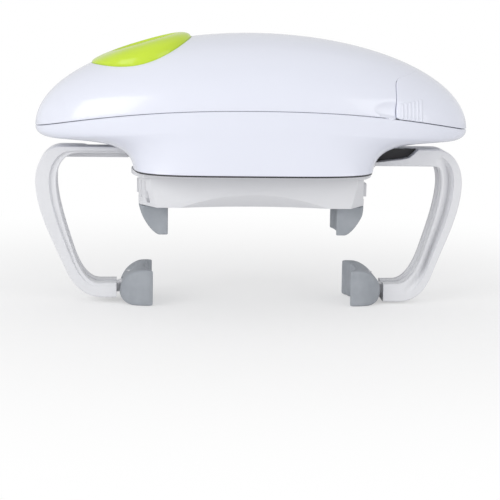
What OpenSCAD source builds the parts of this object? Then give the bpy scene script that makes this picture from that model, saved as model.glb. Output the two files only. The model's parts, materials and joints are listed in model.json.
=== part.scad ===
// Electric jar opener: a battery-driven housing on two clamping arms that grip the jar,
// with a turning carrier below it whose two jaws grip and unscrew the lid.
// X runs along the housing towards the battery end, Y away from the button's printed side
// and Z up. The origin is on the floor under the middle, where the jar pads stand.

/* [Housing] */
// Half of the housing's length
body_half_len = 110; // [106:0.5:116]
// Half of the housing's depth, front to back
body_half_w = 48; // [46:0.5:54]
// Height of the housing's crown above the floor
crown_z = 137.7; // [136:0.1:146]
// Height of the parting line at the two tips
tip_z = 90.2; // [89:0.1:92]
// Rise of the parting line from the tips to the middle
part_rise = 11.2; // [8:0.1:12]
// Fullness of the plan outline, 2 is an ellipse
plan_n = 2.25; // [2:0.05:2.6]
// Wall of the moulded housings
wall = 2.2; // [1.8:0.1:2.6]
// Half length of the skirt's lower edge
skirt_half_len = 60.5; // [59.5:0.1:62]
// How far the skirt's lower edge is set in from the widest line, front and back
skirt_tuck = 2; // [1:0.25:4]
// Height of the skirt's lower edge
skirt_z = 68.9; // [68.6:0.1:69.1]
// Height of the wings' underside
wing_z = 84; // [83.4:0.1:85]

/* [Battery cover] */
// Length of the battery cover
cover_len = 41.3; // [38:0.1:44]
// Width of the seam around the cover
seam = 0.3; // [0.2:0.05:0.5]
// Number of grip ribs on each side of the cover
grip_ribs = 6; // [3:1:6]
// Distance between the grip ribs
rib_pitch = 2; // [1.8:0.1:2.2]
// Half length of the finger recess beside the cover
recess_len = 12.6; // [10:0.2:14]
// Depth of the finger recess
recess_depth = 1.5; // [1:0.1:1.7]

/* [Start button] */
// Distance of the button's middle from the housing's tip
button_from_tip = 53; // [51:0.5:55]
// How far the button's middle lies under the crown
button_sink = 0.8; // [0.6:0.05:1]
// Tilt of the button with the crown
button_tilt = 17; // [15:0.5:18]
// Radius of the button, along the housing
button_r = 25.8; // [24:0.2:26.4]
// Width of the button, as a share of the housing's depth
button_share = 0.607; // [0.54:0.005:0.62]
// How far the button's dome stands above the crown
button_proud = 1.8; // [1:0.1:2]
// Travel of the button
button_travel = 2.5; // [1.5:0.1:3]

/* [Arms and jar pads] */
// Half of the arms' depth
arm_half = 10; // [9:0.5:10]
// Outermost reach of an arm from the middle
arm_reach = 110.3; // [108:0.1:112]
// Thickness of an arm's leg
leg_t = 13.9; // [12:0.1:15]
// Height of the arms' upper edge
rail_top = 80; // [79.5:0.1:80.2]
// Lower edge of the rail on the face that passes over the other arm's rack
high_rail_z = 76.8; // [76.7:0.1:77.2]
// Lower edge of the rail on the rack's face
low_rail_z = 71.4; // [71.2:0.1:71.6]
// Height of the pads
pad_h = 18.5; // [17:0.5:20]
// Half width of the pads
pad_half_w = 18.5; // [17:0.5:20]
// Distance of a pad's gripping face from the middle
pad_face_x = 50; // [48:0.5:51]
// Distance of a pad's pivot from the middle
pivot_x = 62; // [61.5:0.1:62.5]
// Radius of the pad pivot pins
pivot_r = 1.5; // [1.4:0.05:1.8]

/* [Jaw carrier] */
// Radius of the carrier's round ends
carrier_r = 58; // [57:0.5:59]
// Half depth of the carrier
carrier_half_w = 26; // [25:0.5:28]
// Height of the carrier's underside
carrier_z = 51.4; // [51:0.1:52]
// Radius of the turntable's flange
flange_r = 61.4; // [60:0.1:63]
// Distance of a jaw's gripping face from the middle
jaw_face_x = 42.5; // [40:0.5:43]
// Height of the jaws' lower tips
jaw_tip_z = 36.2; // [34.2:0.5:38.2]
// Half width of the lid jaws
jaw_half_w = 15; // [13:0.5:17]

/* [Gears] */
// Pressure angle of all the teeth
pressure = 25; // [22:1:25]
// Tooth thinning for backlash
backlash = 0.09; // [0.07:0.01:0.12]
// Radial clearance of a part that turns on a shaft or in a hole
running = 0.05; // [0.03:0.01:0.08]

/* [Hidden] */
$fn = 48;

white = [0.93, 0.93, 0.97];
lime = [0.72, 0.87, 0.15];
pale_grey = [0.8, 0.8, 0.81];
rubber_grey = [0.56, 0.59, 0.63];
steel = [0.72, 0.73, 0.75];
nylon = [0.88, 0.87, 0.82];

// ---- outlines and lofts -------------------------------------------------
function bezier(p, t) =
    pow(1 - t, 3) * p[0] + 3 * t * pow(1 - t, 2) * p[1]
    + 3 * t * t * (1 - t) * p[2] + pow(t, 3) * p[3];
function bezier_points(p, count) = [for (i = [0:count]) bezier(p, i / count)];
function signed_pow(v, e) = sign(v) * pow(abs(v), e);
function plan_point(a, b, n, angle) =
    [a * signed_pow(cos(angle), 2 / n), b * signed_pow(sin(angle), 2 / n)];

around = 52;     // points round the housing
up_steps = 10;   // rings from the parting line to the crown
down_steps = 12; // rings from the parting line to the skirt

// The parting line's height over a point of the plan outline.
function parting_z(angle) = tip_z + part_rise * pow(sin(angle), 2);
// A ring of the crown: step 0 is the parting line, and inset moves it inwards.
function crown_ring(step, inset) = let (rise = 90 * step / up_steps)
    [for (i = [0:around - 1]) let (
        angle = 360 * i / around,
        p = plan_point((body_half_len - inset) * cos(rise), (body_half_w - inset) * cos(rise),
            plan_n, angle),
        z0 = parting_z(angle))
        [p[0], p[1], z0 + (crown_z - inset - z0) * sin(rise)]];
// The tip's profile below the parting line: round the tip, along the wing, down the skirt.
tip_curve = [[body_half_len, tip_z], [body_half_len, wing_z + 2.1], [body_half_len - 4.1, wing_z + 0.1],
    [body_half_len - 12, wing_z]];
skirt_curve = [[body_half_len - 12, wing_z], [body_half_len - 28, wing_z - 1.1],
    [skirt_half_len + 1.5, wing_z - 0.2], [skirt_half_len, skirt_z]];
skirt_half_w = body_half_w - skirt_tuck;
skirt_n = 4.2;   // fullness of the skirt's lower edge
function low_profile(s) = s < 0.4 ? bezier(tip_curve, s / 0.4) : bezier(skirt_curve, (s - 0.4) / 0.6);
function low_ring(step, inset) = let (
        s = step / down_steps,
        p = low_profile(s),
        n = plan_n + (skirt_n - plan_n) * pow(s, 2.3),
        half_w = body_half_w + (skirt_half_w - body_half_w) * s,
        lift = inset * min(1, 3 * s) * (1 - pow(s, 6)))
    [for (i = [0:around - 1]) let (
        angle = 360 * i / around,
        q = plan_point(p[0] - inset, half_w - inset, n, angle))
        [q[0], q[1], p[1] + lift + part_rise * pow(sin(angle), 2) * (1 - s)]];

function flatten(list) = [for (a = list) for (b = a) b];
// Triangles between rings of equal counts; outward is true where they run bottom to top.
function ring_faces(first, rings, outward) = [for (r = [0:rings - 2]) for (i = [0:around - 1])
    let (a = first + r * around + i, b = first + r * around + (i + 1) % around,
        c = b + around, d = a + around)
    each (outward ? [[a, c, b], [a, d, c]] : [[a, b, c], [a, c, d]])];
function fan(first, tip, outward) = [for (i = [0:around - 1])
    let (a = first + i, b = first + (i + 1) % around) outward ? [a, tip, b] : [a, b, tip]];
function rim(outer, inner, upward) = [for (i = [0:around - 1])
    let (a = outer + i, b = outer + (i + 1) % around, c = inner + (i + 1) % around, d = inner + i)
    each (upward ? [[a, c, b], [a, d, c]] : [[a, b, c], [a, c, d]])];

// The crown as a closed solid, grown outwards by grow and closed below the parting line.
module crown_solid(grow) {
    rings = [for (k = [0:up_steps - 1]) crown_ring(k, -grow)];
    top = up_steps * around;
    polyhedron(points = concat(flatten(rings), [[0, 0, crown_z + grow], [0, 0, tip_z + part_rise]]),
        faces = concat(ring_faces(0, up_steps, true), fan(top - around, top, true), fan(0, top + 1, false)));
}

module crown_shell() {
    outer = [for (k = [0:up_steps - 1]) crown_ring(k, 0)];
    inner = [for (k = [0:up_steps - 1]) crown_ring(k, wall)];
    n = up_steps * around;
    polyhedron(points = concat(flatten(outer), flatten(inner), [[0, 0, crown_z], [0, 0, crown_z - wall]]),
        faces = concat(ring_faces(0, up_steps, true), fan(n - around, 2 * n, true),
            ring_faces(n, up_steps, false), fan(2 * n - around, 2 * n + 1, false), rim(0, n, false)));
}

module skirt_shell() {
    outer = [for (k = [0:down_steps]) low_ring(k, 0)];
    inner = [for (k = [0:down_steps]) low_ring(k, wall)];
    n = (down_steps + 1) * around;
    polyhedron(points = concat(flatten(outer), flatten(inner)),
        faces = concat(ring_faces(0, down_steps + 1, false), ring_faces(n, down_steps + 1, true),
            rim(0, n, true), rim(n - around, 2 * n - around, false)));
}

// The lower housing's filled shape, which bosses and ribs are trimmed to.
module skirt_solid(inset) {
    rings = [for (k = [0:down_steps]) low_ring(k, inset)];
    n = (down_steps + 1) * around;
    polyhedron(points = concat(flatten(rings), [[0, 0, tip_z + part_rise], [0, 0, skirt_z]]),
        faces = concat(ring_faces(0, down_steps + 1, false), fan(0, n, true),
            fan(n - around, n + 1, false)));
}

// A moulding is one continuous skin.
module moulded() { resize([0, 0, 0]) children(); }
// Heights of the crown over its ridge and over any point, and its half depth at a height.
function crown_top(x) = tip_z + (crown_z - tip_z) * sqrt(1 - pow(x / body_half_len, 2));
function crown_over(x, y) = let (
        a = pow(abs(x) / body_half_len, plan_n), b = pow(abs(y) / body_half_w, plan_n),
        z0 = tip_z + part_rise * b / (a + b))
    z0 + (crown_z - z0) * sin(acos(min(1, pow(a + b, 1 / plan_n))));
function crown_depth(x, z, near, far, steps) = let (y = (near + far) / 2)
    steps == 0 ? y : crown_over(x, y) > z ? crown_depth(x, z, y, far, steps - 1)
    : crown_depth(x, z, near, y, steps - 1);
module along_y(depth) { rotate([90, 0, 0]) linear_extrude(depth, center = true) children(); }
module tube(r_out, r_in, h) { difference() { cylinder(r = r_out, h = h);
    translate([0, 0, -1]) cylinder(r = r_in, h = h + 2); } }
module four_ways(x, y) { for (sx = [-1, 1]) for (sy = [-1, 1]) translate([sx * x, sy * y, 0]) children(); }
module half_turn() { rotate([0, 0, 180]) children(); }

// ---- gear teeth ---------------------------------------------------------
function inv_angle(a) = (tan(a) - a * PI / 180) * 180 / PI;
// Half of a tooth's angle at radius rho, on a gear of pitch radius r.
function tooth_half(r, teeth, rho, thin) = 90 / teeth - thin / 2 / r * 180 / PI + inv_angle(pressure)
    - inv_angle(acos(min(1, r * cos(pressure) / rho)));
function gear_points(m, teeth, tip, root, thin) = let (
        r = m * teeth / 2,
        low = max(r * cos(pressure) + 0.001, r - root),
        steps = 4)
    [for (i = [0:teeth - 1]) let (mid = 360 * i / teeth)
        each concat(
            r - root < low ? [(r - root) * [cos(mid - tooth_half(r, teeth, low, thin)),
                sin(mid - tooth_half(r, teeth, low, thin))]] : [],
            [for (k = [0:steps]) let (rho = low + (r + tip - low) * k / steps,
                a = mid - tooth_half(r, teeth, rho, thin)) rho * [cos(a), sin(a)]],
            [for (k = [steps:-1:0]) let (rho = low + (r + tip - low) * k / steps,
                a = mid + tooth_half(r, teeth, rho, thin)) rho * [cos(a), sin(a)]],
            r - root < low ? [(r - root) * [cos(mid + tooth_half(r, teeth, low, thin)),
                sin(mid + tooth_half(r, teeth, low, thin))]] : [])];
module spur(m, teeth, h, phase) { rotate([0, 0, phase]) linear_extrude(h)
    polygon(gear_points(m, teeth, 0.9 * m, 1.2 * m, backlash)); }
// A rack whose pitch line is y = 0 and whose teeth point to -y, with a tooth or gap at x = 0.
module rack_teeth(m, first, last, h, back, shift) {
    half = m * PI / 4 - backlash / 2;
    linear_extrude(h) union() {
        translate([(first - 0.5) * m * PI, 1.1 * m]) square([(last - first + 1) * m * PI, back]);
        for (k = [first:last]) translate([(k + shift) * m * PI, 0])
            polygon([[-half + 0.9 * m * tan(pressure), -0.9 * m], [half - 0.9 * m * tan(pressure), -0.9 * m],
                [half + 1.2 * m * tan(pressure), 1.2 * m], [-half - 1.2 * m * tan(pressure), 1.2 * m]]);
    }
}
// Phase of gear B that meshes with gear A, B lying in direction dir from A.
function mesh_phase(za, pa, zb, dir) = dir + 180 - (180 - (dir - pa) * za) / zb;

// Levels of the drive, from the carrier's floor up.
clear = 0.4;                              // running gap over a sliding or turning face
base_bottom = skirt_z + 0.1;              // underside of the base plate
base_top = base_bottom + 1.8;
pad_t = 1;                                // the base plate's pads under the screw posts
flange_top = skirt_z - clear;
flange_bottom = flange_top - 2.2;
channel_floor = carrier_z + 2.5;
slide_z = channel_floor + clear;          // jaw slides
slide_h = 10;
rack_z = base_top + clear;                // arm racks
rack_h = high_rail_z - clear - rack_z;
ring_floor = rail_top + clear;            // planetary stage
carrier_disc_z = ring_floor + 1.9;
planet_z = carrier_disc_z + 1.8;
planet_h = 3.9;
ring_top = planet_z + planet_h + 0.7;
drive_z = ring_top + 1.2;                 // drive gear on the sun
drive_h = 4;
wheel2_z = drive_z + drive_h + 1.3;
wheel2_h = 2.7;
wheel1_z = wheel2_z + wheel2_h + 0.6;
wheel1_h = 2.4;
plate_z = wheel1_z + wheel1_h + 0.8;      // motor plate
plate_t = 1.6;
can_h = 20;
can_r = 12;

big_module = 1;      // planetary stage and arm racks
mid_module = 0.8;    // jaw racks and the drive gear
wheel2_module = 0.6;
wheel1_module = 0.5;
sun_teeth = 12;
planet_teeth = 15;
ring_teeth = 42;
drive_teeth = 48;
small_teeth = 12;
wheel2_teeth = 40;
wheel1_teeth = 36;
motor_teeth = 10;
arm_teeth = 18;
planet_radius = big_module * (sun_teeth + planet_teeth) / 2;
arm_pitch_r = big_module * arm_teeth / 2;
jaw_pitch_r = mid_module * small_teeth / 2;
axle_r = 1.5;
spindle_r = 5;
spindle_tip_r = 2.2;
hub_r = 16;
dir2 = 140;
dir1 = 235;
dir_motor = 315;
axis2 = mid_module * (drive_teeth + small_teeth) / 2 * [cos(dir2), sin(dir2)];
axis1 = axis2 + wheel2_module * (wheel2_teeth + small_teeth) / 2 * [cos(dir1), sin(dir1)];
axis_motor = axis1 + wheel1_module * (wheel1_teeth + motor_teeth) / 2 * [cos(dir_motor), sin(dir_motor)];
lug_x = 20.5;
lug_y = 27.3;
screw_x = 44;
screw_y = 0.73 * body_half_w;
screw_r = 1.5;
post_r = 3.6;

// ---- housing ------------------------------------------------------------
button_wide = button_share * body_half_w / button_r;   // how much wider across than along
button_x = button_from_tip - body_half_len;
button_z = crown_top(button_x) - button_sink;
module at_button() { translate([button_x, 0, button_z]) rotate([0, -button_tilt, 0]) children(); }
well_r = button_r + 0.4;
well_wall = 1.5;
well_floor = -14;
stem_r = 3;

// Side view of the battery cover, shifted by grow to leave its seam in the housing. Its edge
// runs up the side, round a corner and leans back over the top.
cover_x = body_half_len - cover_len;
cover_side_z = tip_z + 22.3;
cover_lean = 0.3;
module cover_outline(grow) {
    corner = bezier_points([[cover_x, cover_side_z], [cover_x, cover_side_z + 3.5],
        [cover_x + 0.8, cover_side_z + 4.5], [cover_x + 3.2, cover_side_z + 5.2]], 6);
    far = cover_len + 20;
    translate([-grow, 0]) polygon(concat([[cover_x, skirt_z - 10]], corner,
        [[cover_x + far, cover_side_z + 5.2 + (far - 3.2) * cover_lean], [cover_x + far, skirt_z - 10]]));
}

module upper_housing() color(white) moulded() {
    difference() {
        crown_shell();
        along_y(3 * body_half_w) cover_outline(seam);
        at_button() translate([0, 0, -12]) oval(well_r, 26);
        finger_recesses();
    }
    intersection() {
        crown_solid(-wall / 2);
        at_button() translate([0, 0, well_floor]) difference() {
            oval(well_r + well_wall, 26);
            translate([0, 0, 1.2]) oval(well_r, 26);
            translate([0, 0, -1]) cylinder(r = stem_r + 0.4, h = 4);
        }
    }
    at_button() for (s = [-1, 1]) translate([s * board_post_x, 0, board_z + board_t])
        cylinder(r = 1.8, h = well_floor - board_z - board_t + 0.5, $fn = 20);
    intersection() {
        crown_solid(-wall / 2);
        four_ways(screw_x, screw_y) translate([0, 0, post_split_z]) difference() {
            cylinder(r = post_r, h = 40, $fn = 24);
            translate([0, 0, -1]) cylinder(r = screw_r + 0.1, h = 13, $fn = 24);
        }
    }
}
module oval(r, h) { scale([1, button_wide, 1]) cylinder(r = r, h = h, $fn = 56); }
// A spoon-shaped hollow on each side, deepest at the cover's seam.
recess_z = tip_z + 13.1;
recess_h = 5;
module finger_recesses() {
    surface = crown_depth(cover_x, recess_z, 0, body_half_w, 20);
    for (side = [-1, 1]) translate([cover_x, side * (surface + 0.3), recess_z]) rotate([0, 0, -side * 17])
        scale([recess_len, recess_depth + 0.3, recess_h]) sphere(r = 1, $fn = 40);
}

post_split_z = 97;
module lower_housing() color(white) moulded() {
    difference() {
        union() {
            skirt_shell();
            intersection() {
                skirt_solid(wall / 2);
                union() {
                    four_ways(screw_x, screw_y) translate([0, 0, base_top + pad_t + 0.1])
                        cylinder(r = post_r, h = post_split_z - 0.4 - pad_t - base_top, $fn = 24);
                    four_ways(screw_x, screw_y + 8) translate([-0.8, -7, base_top + pad_t + 0.1])
                        cube([1.6, 20, 16]);
                    for (side = [-1, 1]) translate([tray_post_x, side * tray_post_y, base_top + pad_t + 0.1]) {
                        cylinder(r = 3.2, h = tray_z - base_top - pad_t - 0.1, $fn = 24);
                        translate([-0.8, side > 0 ? 0 : -body_half_w, 6]) cube([1.6, body_half_w, 14]);
                    }
                }
            }
        }
        four_ways(screw_x, screw_y) translate([0, 0, skirt_z - 1])
            cylinder(r = screw_r + 0.1, h = 40, $fn = 24);
        arm_slots();
    }
}
// The arms leave through a window at each end. Its sill is low under the rack and high under
// the plain side of the rail.
module arm_slots() {
    for (turn = [0, 180]) rotate([0, 0, turn]) {
        translate([skirt_half_len - 12, -slot_half, base_top + 0.2])
            cube([35, slot_half + split_y + clear, rail_top + 0.8 - base_top - 0.2]);
        translate([skirt_half_len - 12, split_y, high_rail_z - 2.6])
            cube([35, arm_half + 2 * clear - split_y, rail_top + 3.4 - high_rail_z]);
    }
}
slot_half = arm_pitch_r + 7.2;

module battery_cover() color(white) moulded() {
    difference() {
        intersection() {
            crown_shell();
            along_y(3 * body_half_w) cover_outline(0);
        }
        translate([0, 0, seam / 2]) skirt_solid(-1);
    }
    intersection() {
        difference() { crown_solid(0.45); crown_solid(-wall / 2); }
        for (k = [0:grip_ribs - 1])
            translate([cover_x + 1.9 + rib_pitch * k, -1.5 * body_half_w, tip_z + 6.4 - 0.3 * k])
                cube([1.1, 3 * body_half_w, 8.8 + 0.7 * k]);
    }
    intersection() {
        crown_solid(-wall / 2);
        for (side = [-1, 1]) translate([cover_x - 6, side * (tray_half + 2.4) - 1.2, tray_z + 2])
            union() {
                cube([30, 2.4, 4]);
                translate([14, side > 0 ? 0 : 2.4 - body_half_w, 0]) cube([4, body_half_w, 4]);
            }
    }
}

module base_plate() color(pale_grey) {
    difference() {
        union() {
            translate([0, 0, base_bottom]) linear_extrude(base_top - base_bottom)
                polygon([for (i = [0:71]) plan_point(skirt_half_len - wall - 0.4, skirt_half_w - wall - 0.4,
                    skirt_n, 5 * i)]);
            four_ways(screw_x, screw_y) translate([0, 0, base_top - 0.1]) cylinder(r = 4.2, h = pad_t + 0.1);
            four_ways(lug_x, lug_y) translate([0, 0, base_top])
                cylinder(r = 4, h = ring_floor - base_top);
        }
        translate([0, 0, base_bottom - 1]) cylinder(r = hub_r, h = 6);
        four_ways(screw_x, screw_y) translate([0, 0, base_bottom - 1]) {
            cylinder(r = screw_r + 0.1, h = 6);
            cylinder(r = 3.1, h = 2.6);
        }
        four_ways(lug_x, lug_y) translate([0, 0, base_top - 1]) cylinder(r = screw_r - 0.3, h = 12);
    }
}
module housing_screws() color(steel) four_ways(screw_x, screw_y) {
    translate([0, 0, base_bottom + 1.6]) cylinder(r = screw_r, h = post_split_z + 9 - base_bottom);
    translate([0, 0, base_bottom + 0.1]) difference() {
        cylinder(r = 2.9, h = 1.5);
        translate([-0.3, -2, -0.1]) cube([0.6, 4, 0.7]);
    }
}

// ---- start button and switch --------------------------------------------
board_z = -24;
board_t = 1.6;
board_len = 32;
board_w = 18;
board_post_x = 12;
switch_top = -17.5;
stem_bottom = -15.8;
module start_button() color(lime) moulded() {
    difference() {
        intersection() {
            crown_solid(button_proud);
            at_button() translate([0, 0, -10]) oval(button_r, 24);
        }
        intersection() {
            crown_solid(-1.4);
            at_button() translate([0, 0, -12]) oval(button_r - 2, 24);
        }
        at_button() button_dish();
    }
    at_button() translate([0, 0, stem_bottom]) cylinder(r = stem_r, h = -stem_bottom, $fn = 32);
}
// The dished middle of the button, a shallow spherical bowl.
module button_dish() {
    bowl_r = 60;
    bowl_floor = button_proud - 1.3;
    translate([0, 0, bowl_r + bowl_floor]) sphere(r = bowl_r, $fn = 120);
}
spring_r = 5;
module button_spring() color(steel) at_button() {
    turns = 4;
    steps = 18 * turns;
    low = well_floor + 1.2 + 0.5;
    high = -2.5;
    wire = 0.45;
    sides = 6;
    centre = [for (k = [0:steps]) let (a = 360 * turns * k / steps)
        [spring_r * cos(a), spring_r * sin(a), low + (high - low) * k / steps]];
    points = [for (k = [0:steps]) let (a = 360 * turns * k / steps) for (j = [0:sides - 1])
        let (b = 360 * j / sides) centre[k] + wire * [cos(b) * cos(a), cos(b) * sin(a), sin(b)]];
    last = steps * sides;
    polyhedron(points = points, faces = concat(
        [for (k = [0:steps - 1]) for (j = [0:sides - 1]) let (a = k * sides + j,
            b = k * sides + (j + 1) % sides) each [[a, b, b + sides], [a, b + sides, a + sides]]],
        [[for (j = [sides - 1:-1:0]) j]], [[for (j = [0:sides - 1]) last + j]]));
}
module circuit_board() color([0.2, 0.45, 0.25]) at_button()
    translate([-board_len / 2, -board_w / 2, board_z]) cube([board_len, board_w, board_t]);
module switch_body() color([0.15, 0.15, 0.16]) at_button() {
    difference() {
        translate([-3.5, -3.5, board_z + board_t]) cube([7, 7, switch_top - 0.8 - board_z - board_t]);
        translate([0, 0, board_z + board_t + 0.8]) cylinder(r = 1.6 + running, h = 8);
    }
}
module switch_plunger() color("crimson") at_button()
    translate([0, 0, board_z + board_t + 0.8 + button_travel + 0.2])
        cylinder(r = 1.6, h = stem_bottom - 0.3 - (board_z + board_t + 1 + button_travel));

// ---- gearbox ------------------------------------------------------------
module ring_gear() color(nylon) {
    difference() {
        union() {
            translate([0, 0, ring_floor]) cylinder(r = 30, h = ring_top - ring_floor);
            four_ways(lug_x, lug_y) translate([0, 0, ring_floor]) cylinder(r = 4.6, h = 3);
        }
        translate([0, 0, carrier_disc_z - 0.3]) linear_extrude(20)
            polygon(gear_points(big_module, ring_teeth, 1.2 * big_module, 0.8 * big_module, -backlash));
        translate([0, 0, ring_floor - 1]) cylinder(r = spindle_r + 0.6, h = 6);
        for (a = [axis1, axis2]) translate([a[0], a[1], ring_floor + 3]) cylinder(r = axle_r, h = 20);
        four_ways(lug_x, lug_y) translate([0, 0, ring_floor - 1]) cylinder(r = screw_r, h = 6);
        four_ways(lug_x, lug_y) translate([0, 0, ring_floor + 3]) cylinder(r = 3.4, h = 20);
    }
}
module gearbox_screws() color(steel) four_ways(lug_x, lug_y) {
    translate([0, 0, ring_floor + 3 - 9]) cylinder(r = screw_r - 0.3, h = 9);
    translate([0, 0, ring_floor + 3]) difference() {
        cylinder(r = 2.8, h = 1.8);
        translate([-0.3, -2, 1.1]) cube([0.6, 4, 1]);
    }
}
plate_posts = [50, 90, 205, 300];
plate_r = 31;
module motor_plate() color(pale_grey) {
    difference() {
        union() {
            translate([0, 0, plate_z]) cylinder(r = plate_r, h = plate_t);
            translate([axis_motor[0], axis_motor[1], plate_z]) cylinder(r = can_r + 1.5, h = plate_t);
            for (a = plate_posts) rotate([0, 0, a]) translate([27, 0, ring_top])
                cylinder(r = 2.6, h = plate_z - ring_top + 0.5);
        }
        for (a = [axis1, axis2]) translate([a[0], a[1], plate_z - 1]) cylinder(r = axle_r, h = 5);
        translate([0, 0, plate_z - 1]) cylinder(r = 2 + running, h = 5);
        translate([axis_motor[0], axis_motor[1], plate_z - 1]) cylinder(r = 3.2, h = 5);
        translate([tray_x - 6, -plate_r, plate_z - 1]) cube([plate_r, 2 * plate_r, 5]);
    }
}
module gear_axles() color(steel) for (a = [axis1, axis2])
    translate([a[0], a[1], ring_floor + 3]) cylinder(r = axle_r, h = plate_z + plate_t - ring_floor - 3);
module motor() color(steel) translate([axis_motor[0], axis_motor[1], plate_z + plate_t]) {
    difference() {
        union() {
            cylinder(r = can_r, h = can_h);
            translate([0, 0, can_h]) cylinder(r = 3, h = 1.5);
        }
        translate([0, 0, -1]) cylinder(r = 1 + running, h = 9);
    }
    for (s = [-1, 1]) translate([-0.4, s * 7 - 1, can_h]) cube([0.8, 2, 3]);
}
module motor_pinion() color("gold") translate([axis_motor[0], axis_motor[1], 0]) {
    translate([0, 0, wheel1_z - 0.2]) spur(wheel1_module, motor_teeth, wheel1_h + 0.4,
        mesh_phase(wheel1_teeth, 0, motor_teeth, dir_motor));
    translate([0, 0, wheel1_z]) cylinder(r = 1, h = plate_z + plate_t - wheel1_z + 6);
}
module first_gear() color(nylon) translate([axis1[0], axis1[1], 0]) difference() {
    union() {
        translate([0, 0, wheel1_z]) spur(wheel1_module, wheel1_teeth, wheel1_h, 0);
        translate([0, 0, wheel2_z - 0.3]) spur(wheel2_module, small_teeth, wheel1_z - wheel2_z + 0.8,
            mesh_phase(wheel2_teeth, 0, small_teeth, dir1));
        translate([0, 0, ring_top + 0.3]) cylinder(r = 2.5, h = wheel2_z - ring_top);
    }
    translate([0, 0, ring_top]) cylinder(r = axle_r + running, h = 30);
}
module second_gear() color(nylon) translate([axis2[0], axis2[1], 0]) difference() {
    union() {
        translate([0, 0, wheel2_z]) spur(wheel2_module, wheel2_teeth, wheel2_h, 0);
        translate([0, 0, drive_z - 0.6]) spur(mid_module, small_teeth, wheel2_z - drive_z + 0.8,
            mesh_phase(drive_teeth, 0, small_teeth, dir2));
        translate([0, 0, wheel2_z]) cylinder(r = 3, h = plate_z - 0.3 - wheel2_z);
    }
    translate([0, 0, ring_top]) cylinder(r = axle_r + running, h = 30);
}
module sun_gear() color(nylon) difference() {
    union() {
        translate([0, 0, planet_z + 0.1]) spur(big_module, sun_teeth, drive_z - planet_z, 0);
        translate([0, 0, drive_z]) spur(mid_module, drive_teeth, drive_h, 0);
        translate([0, 0, drive_z]) cylinder(r = 4.5, h = plate_z - 0.4 - drive_z);
    }
    translate([0, 0, ring_floor]) cylinder(r = 2 + running, h = 40);
    for (k = [0:5]) rotate([0, 0, 60 * k]) translate([12, 0, drive_z - 1]) cylinder(r = 3.6, h = drive_h + 2);
}
module planet_gear(k) color(nylon) rotate([0, 0, 120 * k]) translate([planet_radius, 0, planet_z])
    difference() {
        spur(big_module, planet_teeth, planet_h, mesh_phase(sun_teeth, -120 * k, planet_teeth, 0));
        translate([0, 0, -1]) cylinder(r = axle_r + running, h = 10);
    }
module planet_carrier() color(nylon) {
    difference() {
        union() {
            translate([0, 0, carrier_disc_z]) cylinder(r = 18, h = 1.5);
            translate([0, 0, flange_bottom]) cylinder(r = spindle_r, h = carrier_disc_z - flange_bottom + 0.5);
            translate([0, 0, slide_z + 0.9]) cylinder(r = spindle_tip_r, h = 20);
            translate([0, 0, carrier_disc_z]) cylinder(r = 2, h = plate_z + plate_t - carrier_disc_z);
        }
        for (k = [0:2]) rotate([0, 0, 120 * k]) translate([planet_radius, 0, carrier_disc_z - 1])
            cylinder(r = axle_r, h = 5);
        translate([0, 0, slide_z - 1]) cylinder(r = 1, h = 9);
    }
}
module planet_pins() color(steel) for (k = [0:2]) rotate([0, 0, 120 * k])
    translate([planet_radius, 0, carrier_disc_z]) cylinder(r = axle_r, h = ring_top - 0.2 - carrier_disc_z);
module spindle_washer() color(steel) translate([0, 0, slide_z + 0.1])
    tube(jaw_pitch_r - 0.9 * mid_module - 0.2, 1, 0.8);
module spindle_screw() color(steel) {
    translate([0, 0, slide_z - 0.2]) cylinder(r = 1, h = 7);
    translate([0, 0, slide_z - 0.2]) cylinder(r = 2.4, h = 0.3);
}

// ---- arms ---------------------------------------------------------------
// Both curves run from the rail's inner end, round the shoulder and down the leg to the foot,
// with equal counts, so that a share between them is a line along the arm.
rail_end = 62;
foot_end = pivot_x + 6.5;
foot_z = 1;
foot_h = 13;
shoulder_n = 6;
leg_n = 8;
toe_n = 6;
function tail(list) = [for (i = [1:len(list) - 1]) list[i]];
arm_outer = concat([[rail_end, rail_top]],
    bezier_points([[arm_reach - 13.3, rail_top], [arm_reach - 5.3, rail_top],
        [arm_reach + 0.3, 72], [arm_reach, 61.8]], shoulder_n),
    tail(bezier_points([[arm_reach, 61.8], [arm_reach - 0.4, 44], [arm_reach - 9.3, 31],
        [arm_reach - 16.8, 14]], leg_n)),
    tail(bezier_points([[arm_reach - 16.8, 14], [arm_reach - 19.8, 5.5], [arm_reach - 24.3, foot_z],
        [arm_reach - 32.3, foot_z]], toe_n)),
    [[foot_end, foot_z]]);
function arm_inner(rail_z, square) = let (x = arm_reach - leg_t, top = foot_z + foot_h)
    concat([[rail_end, rail_z]],
    bezier_points([[x - 10 + 6 * square, rail_z], [x - 4 + 3 * square, rail_z],
        [x, rail_z - 4 + 3 * square], [x, 61.8]], shoulder_n),
    tail(bezier_points([[x, 61.8], [x - 0.4, 49], [x - 4.9, 37.5], [x - 8.2, 29]], leg_n)),
    tail(bezier_points([[x - 8.2, 29], [x - 10.9, 22], [x - 13.9, top], [x - 20.4, top]], toe_n)),
    [[foot_end, top]]);
function share(a, b, f) = [for (i = [0:len(a) - 1]) a[i] + (b[i] - a[i]) * f];
function strip(inner, from, to) = let (n = len(arm_outer) - 1)
    concat(share(arm_outer, inner, from), [for (i = [n:-1:0]) share(arm_outer, inner, to)[i]]);
// A slab of the arm's profile between two planes of y.
module arm_slab(inner, from, to, y0, y1) {
    translate([0, (y0 + y1) / 2, 0]) along_y(y1 - y0) polygon(strip(inner, from, to));
}
split_y = -2;         // where the rack's face meets the face over the other rack
rim_share = 0.64;     // where the inner rim starts on the plain face
band = [0.33, 0.85];  // the hollow band on the rack's face
rim_depth = 1.2;
groove_y = 2.5;       // a groove runs along the inner side between the two faces
band_depth = 2.5;
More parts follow.
